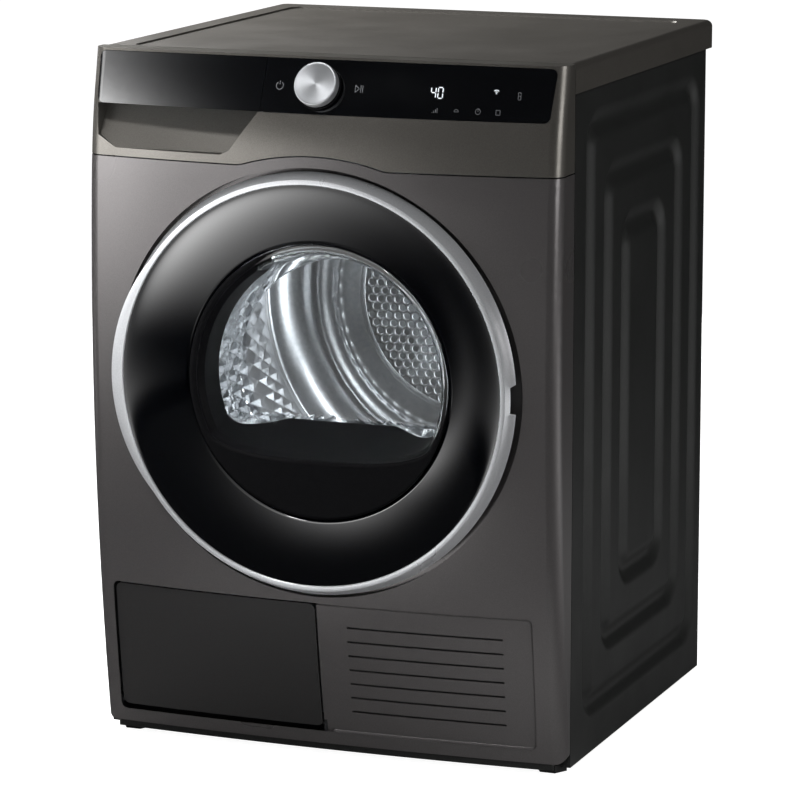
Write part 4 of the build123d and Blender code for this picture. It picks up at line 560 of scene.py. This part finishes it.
bowlRows = []
for wall, lift, order in (("out", 0, 1), ("in", bowlLook["glass"], -1)):
    depths, radii = bowlWall(wall)
    wallDeep = np.sort(np.concatenate([depths, bowlLook["wallRows"]]))
    domeDeep = depths[-1] + bowlLook["crown"] * (1 - bowlLook["domeRows"] ** 2)
    deep = np.concatenate([wallDeep, domeDeep])[:, None]
    reach = np.concatenate([np.interp(wallDeep, depths, radii), radii[-1] * bowlLook["domeRows"]])[:, None]
    reach = np.minimum(reach, underFloor(deep, bowlTurn, lift))
    bowlRows.append(turned(reach, bowlFront + deep, doorZ, bowlTurn)[::order])
windowBowl = gridPiece("windowBowl", np.concatenate(bowlRows), True, True)
faceOut(windowBowl)
dress(windowBowl, "door", "pressedGlass", ["door_window"])

# Window collar: at each depth the bowl's inner circle cut by the sloping floor, with the corner rounded by a
# soft minimum. It is deep at the left and under the window, and fades out over the top and the right.
collarLook = {"wall": 1 * mm, "clear": 0.8 * mm, "sideDeep": 45 * mm, "floorDeep": 80 * mm,
              "roundness": 60 * mm, "fadeMiddle": np.radians(50), "fadeFrom": 0.25, "fadeSpan": 0.35,
              "fadeRim": 164.6 * mm, "fadeDeep": 0.5 * mm, "floorFrom": 0.45, "floorSpan": 0.25,
              "turns": 480, "rows": 40}
collarTurn = fullTurn(collarLook["turns"])
fade = ease((np.cos(collarTurn - collarLook["fadeMiddle"]) - collarLook["fadeFrom"]) / collarLook["fadeSpan"])


def windowReach(deep):  # distance from the door's axis to the collar
    wallReach = np.interp(deep, *bowlWall("in")) - collarLook["clear"]
    wallReach = wallReach + (collarLook["fadeRim"] - wallReach) * fade
    chord = underFloor(deep, collarTurn, bowlLook["glass"] + collarLook["clear"])
    blend = np.maximum(collarLook["roundness"] - np.abs(wallReach - chord), 0)
    return np.minimum(wallReach, chord) - blend ** 2 / (4 * collarLook["roundness"])


onFloor = ease((-np.sin(collarTurn) - collarLook["floorFrom"]) / collarLook["floorSpan"])
deepest = collarLook["sideDeep"] + (collarLook["floorDeep"] - collarLook["sideDeep"]) * onFloor
deepest = deepest + (collarLook["fadeDeep"] - deepest) * fade
collarDeep = np.linspace(0, 1, collarLook["rows"])[:, None] * deepest
collarPoints = turned(windowReach(collarDeep), bowlFront + collarDeep, doorZ, collarTurn)
collar = gridPiece("windowCollar", collarPoints, False, True)
thicken(collar, collarLook["wall"], 1)
dress(collar, "door", "smokedAbs")

# Lower plate: fills from the collar's front edge out to the window's circle, with a rolled upper edge
plateLook = {"outer": 165.3 * mm, "ahead": 1.5 * mm, "roll": 2.6 * mm, "wall": 2 * mm,
             "rollRows": np.linspace(0, 0.2, 8), "flatRows": np.linspace(0.25, 1, 12)}
plateReach = windowReach(np.zeros((1, 1)))[0]
plateShare = np.concatenate([plateLook["rollRows"], plateLook["flatRows"]])[:, None]
plateRadius = plateReach + (plateLook["outer"] - plateReach) * plateShare
plateRoll = plateLook["roll"] * (1 - ease((plateRadius - plateReach) / (2 * plateLook["roll"])))
platePoints = turned(plateRadius, bowlFront - plateLook["ahead"] + plateRoll, doorZ, collarTurn)
plate = gridPiece("lowerPlate", platePoints, False, True)
thicken(plate, plateLook["wall"], 1)
dress(plate, "door", "smokedAbs", ["door_plate"])
print("door done")

# Dial: profiles of reach and height carried round the dial's own axis
dialLook = {"cap": spunLook["capMm"] * mm, "base": 28 * mm, "high": 14 * mm, "baseHigh": 4.9 * mm,
            "clear": 0.6 * mm, "soft": 1.4 * mm, "bevel": 0.4 * mm, "dish": 0.8 * mm, "baseStep": 1 * mm,
            "baseSoft": 0.8 * mm, "stem": 3 * mm, "stemDeep": 9 * mm, "pole": 0.02 * mm,
            "dishRows": np.linspace(1, 24.2, 24) * mm, "turns": 160}
dialJoint = next(joint for joint in frame["joints"] if joint["name"] == "dial_turn")
dialMiddle = np.array(dialJoint["pos_m"])
dialAxis = np.array(dialJoint["axis"]) / np.linalg.norm(dialJoint["axis"])
dialRight = np.array([1.0, 0, 0])
dialUp = np.cross(dialAxis, dialRight)
dialTurn = fullTurn(dialLook["turns"])


def aroundDial(reach, height):
    spoke = np.cos(dialTurn)[:, None] * dialRight + np.sin(dialTurn)[:, None] * dialUp
    return dialMiddle + reach[:, :, None] * spoke[None] + height[:, :, None] * dialAxis


cap, capSoft, bevel, pole = (dialLook[key] for key in ("cap", "soft", "bevel", "pole"))
base, baseSoft, baseHigh = (dialLook[key] for key in ("base", "baseSoft", "baseHigh"))
capTop = dialLook["high"] + dialLook["clear"]
capDish = np.array([pole, *dialLook["dishRows"]])
capSink = dialLook["dish"] * (1 - np.linspace(0, 1, len(capDish)) ** 2)
capReach, capHeight = profile([*zip(capDish, capTop - capSink), (cap - capSoft, capTop),
                               (cap - bevel, capTop - bevel), (cap, capTop - capSoft), (cap, baseHigh),
                               (pole, baseHigh)])
dialCap = gridPiece("dialCap", aroundDial(capReach, capHeight), True, True)

# Turning map of the cap: u goes once round and reaches 1 at the seam, v is the share of the radius
turning = dialCap.data.uv_layers.new(name="turning")
corners = np.zeros(len(dialCap.data.loops), dtype=np.int32)
dialCap.data.loops.foreach_get("vertex_index", corners)
uTurn, vReach = np.broadcast_arrays(np.arange(dialLook["turns"]) / dialLook["turns"], capReach / cap)
cornerTurn = uTurn.ravel()[corners].reshape(-1, 4)
cornerTurn = np.where(cornerTurn.max(1, keepdims=True) - cornerTurn > 0.5, cornerTurn + 1, cornerTurn)
cornerUv = np.stack([cornerTurn.ravel(), vReach.ravel()[corners]], -1)
turning.uv.foreach_set("vector", cornerUv.astype(np.float32).ravel())
faceOut(dialCap)
dress(dialCap, "dial", "spunAluminium", ["dial_knob"])

stem, stemLow, dialClear = dialLook["stem"], -dialLook["stemDeep"], dialLook["clear"]
baseReach, baseHeight = profile([
    (stem, baseHigh), (cap - dialLook["baseStep"], baseHigh), (base - baseSoft, baseHigh),
    (base, baseHigh - baseSoft), (base, dialClear), (stem, dialClear), (stem, stemLow), (pole, stemLow),
    (pole, baseHigh)])
dialBase = gridPiece("dialBase", aroundDial(baseReach, baseHeight), True, True)
faceOut(dialBase)
dress(dialBase, "dial", "smokedAbs")
print("dial done")

# Front of the cabinet: an arc in plan at each height. Its rise fades towards the floor and the top, and its
# edge sets back from the crest and leans back above the seam.
pillow = {"seamY": -233 * mm, "stand": 58 * mm, "crown": 25 * mm, "crownTop": 1 * mm, "crownLow": 10 * mm,
          "crestZ": 520 * mm, "drop": 38 * mm, "footZ": 15 * mm, "rake": 11 * mm, "leanPower": 1.5,
          "seamZ": 723 * mm, "tall": 127 * mm, "half": 282 * mm}


def panelY(x, z):
    lean = np.maximum(0, (z - pillow["seamZ"]) / pillow["tall"]) ** pillow["leanPower"]
    below = (pillow["crestZ"] - z) / (pillow["crestZ"] - pillow["footZ"])
    edge = pillow["seamY"] - pillow["stand"] + pillow["drop"] * below ** 2 + pillow["rake"] * lean
    rise = pillow["crown"] - (pillow["crown"] - pillow["crownLow"]) * np.maximum(0, below) ** 2
    rise = rise + (pillow["crownTop"] - pillow["crown"]) * lean
    radius = (pillow["half"] ** 2 + rise ** 2) / (2 * rise)
    return edge - rise + radius - np.sqrt(radius ** 2 - x ** 2)


# Panel marks: each stroke is a band of even width along a path of x and z, laid on the panel's front.
# Sizes and places are in mm.
markLook = {"raise": 0.35, "wall": 0.25, "line": 0.9, "fine": 0.6, "bar": 0.8, "dot": 1.0, "digitLine": 1.1,
            "digitWide": 5.6, "digitTall": 12, "digitCut": 0.62, "digitX": (142, 150.5), "digitZ": 815.5,
            "upperZ": 816, "rowZ": 796, "powerX": -50, "powerRadius": 4.4, "powerGap": (125, 415),
            "powerBar": (1.2, 5.4), "playX": 50, "playHalf": 4, "playSpan": (-4.5, 0.5), "pauseX": (2.2, 4.6),
            "waveX": 218, "waveZ": 817, "waves": (2, 4), "waveSpan": (45, 135), "dotSpan": (-0.4, 0.6),
            "ladderX": 246, "ladderHalf": 1.6, "ladderZ": (811, 815, 819), "levelX": (143, 145, 147, 149),
            "levelFoot": 3, "levelTop": -2.25, "levelRise": 1.5, "domeX": 172, "domeRadius": 2.6,
            "domeDrop": 1, "clockX": 198, "clockRadius": 3, "clockHand": 2, "trayX": 222, "trayHalf": 2.4,
            "trayZ": (-3, 2.4), "arcSteps": 28, "lineSteps": 4}


def band(path, width):
    ahead = np.gradient(path, axis=0)
    ahead = ahead / np.linalg.norm(ahead, axis=1, keepdims=True)
    across = np.stack([-ahead[:, 1], ahead[:, 0]], -1) * width / 2
    return np.stack([path - across, path + across])


def arc(x, z, radius, start, end):
    angle = np.radians(np.linspace(start, end, markLook["arcSteps"]))
    return np.stack([x + radius * np.cos(angle), z + radius * np.sin(angle)], -1)


def line(x0, z0, x1, z1):
    share = np.linspace(0, 1, markLook["lineSteps"])[:, None]
    return np.array([[x0, z0]]) + share * np.array([[x1 - x0, z1 - z0]])


def ladder(x, half, heights):  # two uprights and a rung at each height
    uprights = [line(x + s * half, heights[0], x + s * half, heights[-1]) for s in (-1, 1)]
    return uprights + [line(x - half, z, x + half, z) for z in heights]


def digit(x, z, lit):  # seven bars: top, upper left, upper right, middle, lower left, lower right, bottom
    half, tall = markLook["digitWide"] / 2, markLook["digitTall"] / 2
    cut = markLook["digitLine"] * markLook["digitCut"]
    across = {up: line(x - half + cut, z + up, x + half - cut, z + up) for up in (tall, 0, -tall)}
    uprights = [line(x + s * half, z + low + cut, x + s * half, z + low + tall - cut)
                for low in (0, -tall) for s in (-1, 1)]
    bars = [across[tall], *uprights[:2], across[0], *uprights[2:], across[-tall]]
    return [bars[i] for i in lit]


def markPiece(name, strokes, finish):
    points, faces, count = [], [], 0
    for width, paths in strokes:
        for path in paths:
            strip = band(path, width)
            faces.append(count + gridFaces(*strip.shape[:2]))
            points.append(strip.reshape(-1, 2))
            count += len(points[-1])
    x, z = np.concatenate(points).T * mm
    lifted = panelY(x, z) - markLook["raise"] * mm
    piece = meshPiece(name, np.stack([x, lifted, z], -1), np.concatenate(faces)[:, ::-1])
    thicken(piece, markLook["wall"] * mm, -1)
    dress(piece, "cabinet", finish)


tensX, onesX = markLook["digitX"]
tens = digit(tensX, markLook["digitZ"], (1, 2, 3, 5))
ones = digit(onesX, markLook["digitZ"], (0, 1, 2, 4, 5, 6))
waveX, waveZ = markLook["waveX"], markLook["waveZ"]
waves = [arc(waveX, waveZ, radius, *markLook["waveSpan"]) for radius in markLook["waves"]]
dotLow, dotHigh = markLook["dotSpan"]
dot = line(waveX, waveZ + dotLow, waveX, waveZ + dotHigh)
litStrokes = [(markLook["digitLine"], tens + ones), (markLook["bar"], waves), (markLook["dot"], [dot])]
markPiece("litMarks", litStrokes, "whiteLed")

upperZ, rowZ = markLook["upperZ"], markLook["rowZ"]
powerX, playX, playHalf = markLook["powerX"], markLook["playX"], markLook["playHalf"]
barLow, barHigh = markLook["powerBar"]
power = [arc(powerX, upperZ, markLook["powerRadius"], *markLook["powerGap"]),
         line(powerX, upperZ + barLow, powerX, upperZ + barHigh)]
playLeft, playTip = (playX + shift for shift in markLook["playSpan"])
play = [line(playLeft, upperZ + s * playHalf, playTip, upperZ) for s in (-1, 1)]
play += [line(x, upperZ - playHalf, x, upperZ + playHalf)
         for x in (playLeft, *(playX + shift for shift in markLook["pauseX"]))]
levelFoot = rowZ - markLook["levelFoot"]
levels = [line(x, levelFoot, x, rowZ + markLook["levelTop"] + i * markLook["levelRise"])
          for i, x in enumerate(markLook["levelX"])]
clockX, domeX, domeRadius = markLook["clockX"], markLook["domeX"], markLook["domeRadius"]
domeZ = rowZ - markLook["domeDrop"]
icons = ladder(markLook["ladderX"], markLook["ladderHalf"], markLook["ladderZ"])
icons += [arc(clockX, rowZ, markLook["clockRadius"], 0, 360),
          line(clockX, rowZ, clockX, rowZ + markLook["clockHand"]),
          arc(domeX, domeZ, domeRadius, 0, 180), line(domeX - domeRadius, domeZ, domeX + domeRadius, domeZ)]
icons += ladder(markLook["trayX"], markLook["trayHalf"], [rowZ + z for z in markLook["trayZ"]])
inkStrokes = [(markLook["line"], power + play), (markLook["bar"], levels), (markLook["fine"], icons)]
markPiece("inkMarks", inkStrokes, "printedInk")
print("marks done")

# Plinth strip: the front's curve carried down below the front sheet
plinthLook = {"half": 284 * mm, "low": 7 * mm, "high": 16 * mm, "back": 5 * mm, "wall": 3 * mm, "steps": 120,
              "rows": 4}
plinthX, plinthZ = np.meshgrid(np.linspace(-plinthLook["half"], plinthLook["half"], plinthLook["steps"]),
                               np.linspace(plinthLook["low"], plinthLook["high"], plinthLook["rows"]))
plinthY = panelY(plinthX, plinthLook["high"]) + plinthLook["back"]
plinth = gridPiece("plinthStrip", np.stack([plinthX, plinthY, plinthZ], -1)[::-1])
thicken(plinth, plinthLook["wall"], -1)
dress(plinth, "cabinet", "powderCoat")
print("plinth done")

# Grille lip: a slope from the front sheet down to the sunken grille, along the bottom, right and top of its
# recess. The path is a row of middles with an angle each, and the slope shortens the reach from them.
grilleLook = {"border": 5.5 * mm, "corner": 8 * mm, "lowStart": 8 * mm, "highStart": -2 * mm,
              "clear": 0.2 * mm, "slope": 3.2 * mm, "slopeFrom": 0.3 * mm, "slopeTo": 2.8 * mm,
              "wall": 0.3 * mm, "steps": 60, "bendSteps": 10, "rows": 6}
grilleLow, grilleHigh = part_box("intake_grille")
recessRight = grilleHigh.x - grilleLook["border"]
recessLow, recessHigh = grilleLow.z + grilleLook["border"], grilleHigh.z - grilleLook["border"]
steps, bendSteps, lipCorner = grilleLook["steps"], grilleLook["bendSteps"], grilleLook["corner"]
bendX = recessRight - lipCorner
lipMiddleX = np.concatenate([np.linspace(grilleLook["lowStart"], bendX, steps), np.full(2 * bendSteps, bendX),
                             np.linspace(bendX, grilleLook["highStart"], steps)])
lipMiddleZ = np.repeat([recessLow + lipCorner, recessHigh - lipCorner], steps + bendSteps)
bend = np.linspace(0, np.pi / 2, bendSteps)
lipAngle = np.concatenate([np.full(steps, -np.pi / 2), bend - np.pi / 2, bend, np.full(steps, np.pi / 2)])
lipShare = np.linspace(0, 1, grilleLook["rows"])[:, None]
lipReach = lipCorner - grilleLook["clear"] - grilleLook["slope"] * lipShare
lipX, lipZ = lipMiddleX + lipReach * np.cos(lipAngle), lipMiddleZ + lipReach * np.sin(lipAngle)
lipIn = grilleLook["slopeFrom"] + (grilleLook["slopeTo"] - grilleLook["slopeFrom"]) * lipShare
grilleLip = gridPiece("grilleLip", np.stack([lipX, panelY(lipX, lipZ) + lipIn, lipZ], -1)[::-1])
thicken(grilleLip, grilleLook["wall"], -1)
dress(grilleLip, "cabinet", "enamelledSteel")

# Louvre blades: behind each slot a strip that slopes back and up; their charcoal, darker than the grille, is
# painted shade
bladeLook = {"slots": 7, "pitch": 18 * mm, "sideGap": 36 * mm, "in": 5.8 * mm, "back": 1.2 * mm,
             "low": 1.8 * mm, "rise": 5 * mm, "wall": 0.3 * mm, "rows": 3, "steps": 40}
bladeRows, bladeSteps, sideGap = (bladeLook[key] for key in ("rows", "steps", "sideGap"))
bladeShare = np.linspace(0, 1, bladeRows)[None, :, None]
slotRow = np.arange(bladeLook["slots"])[:, None, None]
bladeX = np.linspace(grilleLow.x + sideGap, recessRight - sideGap, bladeSteps)
slotZ = (recessLow + recessHigh) / 2 + (slotRow - (bladeLook["slots"] - 1) / 2) * bladeLook["pitch"]
bladeZ = slotZ - bladeLook["low"] + bladeLook["rise"] * bladeShare
bladeY = panelY(bladeX, bladeZ) + bladeLook["in"] + bladeLook["back"] * bladeShare
bladePoints = np.stack(np.broadcast_arrays(bladeX, bladeY, bladeZ), -1)
bladeFaces = gridFaces(bladeRows, bladeSteps) + slotRow * bladeRows * bladeSteps
blades = meshPiece("louvreBlades", bladePoints.reshape(-1, 3), bladeFaces.reshape(-1, 4)[:, ::-1])
thicken(blades, bladeLook["wall"], -1)
dress(blades, "cabinet", "satinCharcoal")
print("grille done")

# Floor: pale studio card with a faint tooth, white to the eye with the shadow kept. In reflections it is dark
# apart from a few soft pools of light.
floorLook = {"half": 20.0, "points": 9, "colours": ("#f4f4f4", "#fbfbfb"), "rough": 0.9, "toothMm": 6.0,
             "glow": 0.6, "white": 1.6,
             "pools": ({"at": (-0.22, -1.25, 0), "reach": (0.22, 0.38, 1), "strength": 3.6},
                       {"at": (0.35, -0.55, 0), "reach": (0.3, 0.3, 1), "strength": 0.45},
                       {"at": (0.1, -3.5, 0), "reach": (0.6, 1.0, 1), "strength": 0.35},
                       {"at": (-1.4, -3.6, 0), "reach": (0.9, 1.2, 1), "strength": 2.6},
                       {"at": (-2.8, -0.4, 0), "reach": (0.7, 0.35, 1), "strength": 1.2},
                       {"at": (2.4, 0.4, 0), "reach": (1.2, 0.8, 1), "strength": 1.6})}


# Soft pools of light: the sum of each strength times the exponential of minus the squared distance from its
# middle
def addPools(tree, place, pools):
    total = 0.0
    for pool in pools:
        away = addNode(tree, "VectorMath", {0: place, 1: pool["at"]}, operation="SUBTRACT")
        share = addNode(tree, "VectorMath", {0: away.outputs[0], 1: pool["reach"]}, operation="DIVIDE")
        squared = addNode(tree, "VectorMath", {0: share.outputs[0], 1: share.outputs[0]},
                          operation="DOT_PRODUCT")
        fallen = addNode(tree, "Math", {0: float(np.exp(-1)), 1: squared.outputs["Value"]},
                         operation="POWER")
        total = addNode(tree, "Math", {0: fallen.outputs[0], 1: pool["strength"], 2: total},
                        operation="MULTIPLY_ADD").outputs[0]
    return total


floorSide = np.linspace(-floorLook["half"], floorLook["half"], floorLook["points"])
floorX, floorY = np.meshgrid(floorSide, floorSide, indexing="ij")
floor = gridPiece("studioFloor", np.stack([floorX, floorY, np.zeros_like(floorX)], -1))
floorPaint, floorTree, floorShader = newMaterial("studioCard", {"Roughness": floorLook["rough"]})
floorPlace = addNode(floorTree, "TexCoord", {}).outputs["Object"]
tooth = addNode(floorTree, "TexNoise", {"Vector": floorPlace, "Scale": 1 / (floorLook["toothMm"] * mm)})
cardDark, cardPale = (hexLinear(text) for text in floorLook["colours"])
cardColour = addNode(floorTree, "Mix", {
    mixShare: tooth.outputs["Fac"], mixFrom: cardDark, mixTo: cardPale}, data_type="RGBA")
feed(floorTree, floorShader, {"Base Color": cardColour.outputs[mixOut]})
seen = addNode(floorTree, "LightPath", {})
seenStraight = addNode(floorTree, "Math", {
    0: seen.outputs["Is Camera Ray"], 1: seen.outputs["Is Transmission Ray"]}, operation="MAXIMUM")
whiteShare = addNode(floorTree, "Math", {0: seenStraight.outputs[0], 1: floorLook["glow"]},
                     operation="MULTIPLY")
white = addNode(floorTree, "Emission", {"Color": (1, 1, 1, 1), "Strength": floorLook["white"]})
pools = addNode(floorTree, "Emission", {
    "Color": (1, 1, 1, 1), "Strength": addPools(floorTree, floorPlace, floorLook["pools"])})
straightMix = addNode(floorTree, "MixShader", {
    0: whiteShare.outputs[0], 1: floorShader.outputs[0], 2: white.outputs[0]})
floorMix = addNode(floorTree, "MixShader", {
    0: seen.outputs["Is Glossy Ray"], 1: straightMix.outputs[0], 2: pools.outputs[0]})
feed(floorTree, floorTree.nodes["Material Output"], {"Surface": floorMix.outputs[0]})
floor.data.materials.append(floorPaint)

# Light card: an upright clear sheet near the front's left edge that adds pools of light, unseen by the eye
cardLook = {"x": (-1.2, 0.4), "z": (0.05, 1.5), "y": -0.6, "points": 5,
            "pools": ({"at": (-0.62, -0.6, 0.75), "reach": (0.17, 1, 0.25), "strength": 4.8},
                      {"at": (-0.22, -0.6, 0.65), "reach": (0.2, 1, 0.1), "strength": 1.9},
                      {"at": (-0.4, -0.6, 0.81), "reach": (0.26, 1, 0.06), "strength": 3.2})}
cardX, cardZ = np.meshgrid(np.linspace(*cardLook["x"], cardLook["points"]),
                           np.linspace(*cardLook["z"], cardLook["points"]), indexing="ij")
lightCard = gridPiece("lightCard", np.stack([cardX, np.full_like(cardX, cardLook["y"]), cardZ], -1))
cardGlow, cardTree = newMaterial("lightCard", {})[:2]
cardPlace = addNode(cardTree, "TexCoord", {}).outputs["Object"]
cardPools = addPools(cardTree, cardPlace, cardLook["pools"])
cardSeen = addNode(cardTree, "LightPath", {}).outputs["Is Camera Ray"]
cardUnseen = addNode(cardTree, "Math", {0: 1.0, 1: cardSeen}, operation="SUBTRACT")
cardStrength = addNode(cardTree, "Math", {0: cardPools, 1: cardUnseen.outputs[0]}, operation="MULTIPLY")
cardLight = addNode(cardTree, "Emission", {"Strength": cardStrength.outputs[0]})
cardClear = addNode(cardTree, "BsdfTransparent", {})
cardMix = addNode(cardTree, "AddShader", {0: cardLight.outputs[0], 1: cardClear.outputs[0]})
feed(cardTree, cardTree.nodes["Material Output"], {"Surface": cardMix.outputs[0]})
lightCard.data.materials.append(cardGlow)

# Soft studio: a box close to the top's left edge, weaker ones at the right, above the front, overhead and
# behind, and two lamps in the drum
lamps = {
    "softboxLeft": {"at": (-1.05, 0.25, 1.35), "to": (-0.1, 0, 0.85), "size": (0.7, 0.7), "watts": 42},
    "softboxRight": {"at": (3.2, -1.0, 0.95), "to": (0, 0, 0.45), "size": (1.4, 1.0), "watts": 21},
    "softboxFront": {"at": (-0.55, -1.42, 2.7), "to": (0, -0.3, 0.8), "size": (0.5, 0.4), "watts": 12},
    "overhead": {"at": (-0.7, 0.9, 3.0), "to": (0, 0.2, 0.5), "size": (2.0, 2.0), "watts": 6},
    "softboxBack": {"at": (-0.8, 2.8, 0.36), "to": (0, 0.3, 0.4), "size": (1.2, 0.6), "watts": 36},
    "drumGlow": {"at": (0.1, -0.16, 0.64), "to": (-0.27, 0.0, 0.5), "size": (0.2, 0.12), "watts": 5},
    "drumSide": {"at": (0.16, 0.07, 0.38), "to": (-0.25, 0.24, 0.45), "size": (0.25, 0.2), "watts": 4.5},
}


def addHolder(name, data, at, sight):  # object for a lamp or camera that looks along sight
    holder = bpy.data.objects.new(name, data)
    holder.location = at
    holder.rotation_mode = "QUATERNION"
    holder.rotation_quaternion = sight.to_track_quat("-Z", "Y")
    bpy.context.scene.collection.objects.link(holder)
    return holder


for name, lamp in lamps.items():
    light = bpy.data.lights.new(name, "AREA")
    light.shape = "RECTANGLE"
    light.size, light.size_y = lamp["size"]
    light.energy = lamp["watts"]
    lampHolder = addHolder(name, light, lamp["at"], Vector(lamp["to"]) - Vector(lamp["at"]))
    lampHolder.visible_camera = False
    lampHolder.visible_transmission = False

# Studio air: white to the eye, a soft fill on matt surfaces, nearly dark in reflections
airLook = {"dark": 0.015, "fill": 0.36}
world = bpy.data.worlds.new("studioAir")
bpy.context.scene.world = world
world.use_nodes = True
airTree = world.node_tree
seenAir = addNode(airTree, "LightPath", {})
airFill = addNode(airTree, "Math", {
    0: seenAir.outputs["Is Diffuse Ray"], 1: airLook["fill"], 2: airLook["dark"]}, operation="MULTIPLY_ADD")
airStrength = addNode(airTree, "Mix", {
    "Factor": seenAir.outputs["Is Camera Ray"], "A": airFill.outputs[0], "B": 1.0})
feed(airTree, airTree.nodes["Background"], {"Strength": airStrength.outputs[0], "Color": (1, 1, 1, 1)})
bpy.context.scene.view_settings.view_transform = "Standard"

# Camera: long lens from the front right, a little above
cameraLook = {"at": (1.8062, -4.6859, 1.3752), "azimuth": 21.16, "pitch": 11.08, "lens": 183.84,
              "sensor": 36.0}
turnAngle, pitchAngle = np.radians([cameraLook["azimuth"], cameraLook["pitch"]])
sight = Vector((-np.sin(turnAngle) * np.cos(pitchAngle), np.cos(turnAngle) * np.cos(pitchAngle),
                -np.sin(pitchAngle)))
camera = bpy.data.cameras.new("photoCamera")
camera.lens = cameraLook["lens"]
camera.sensor_width = cameraLook["sensor"]
bpy.context.scene.camera = addHolder("photoCamera", camera, cameraLook["at"], sight)
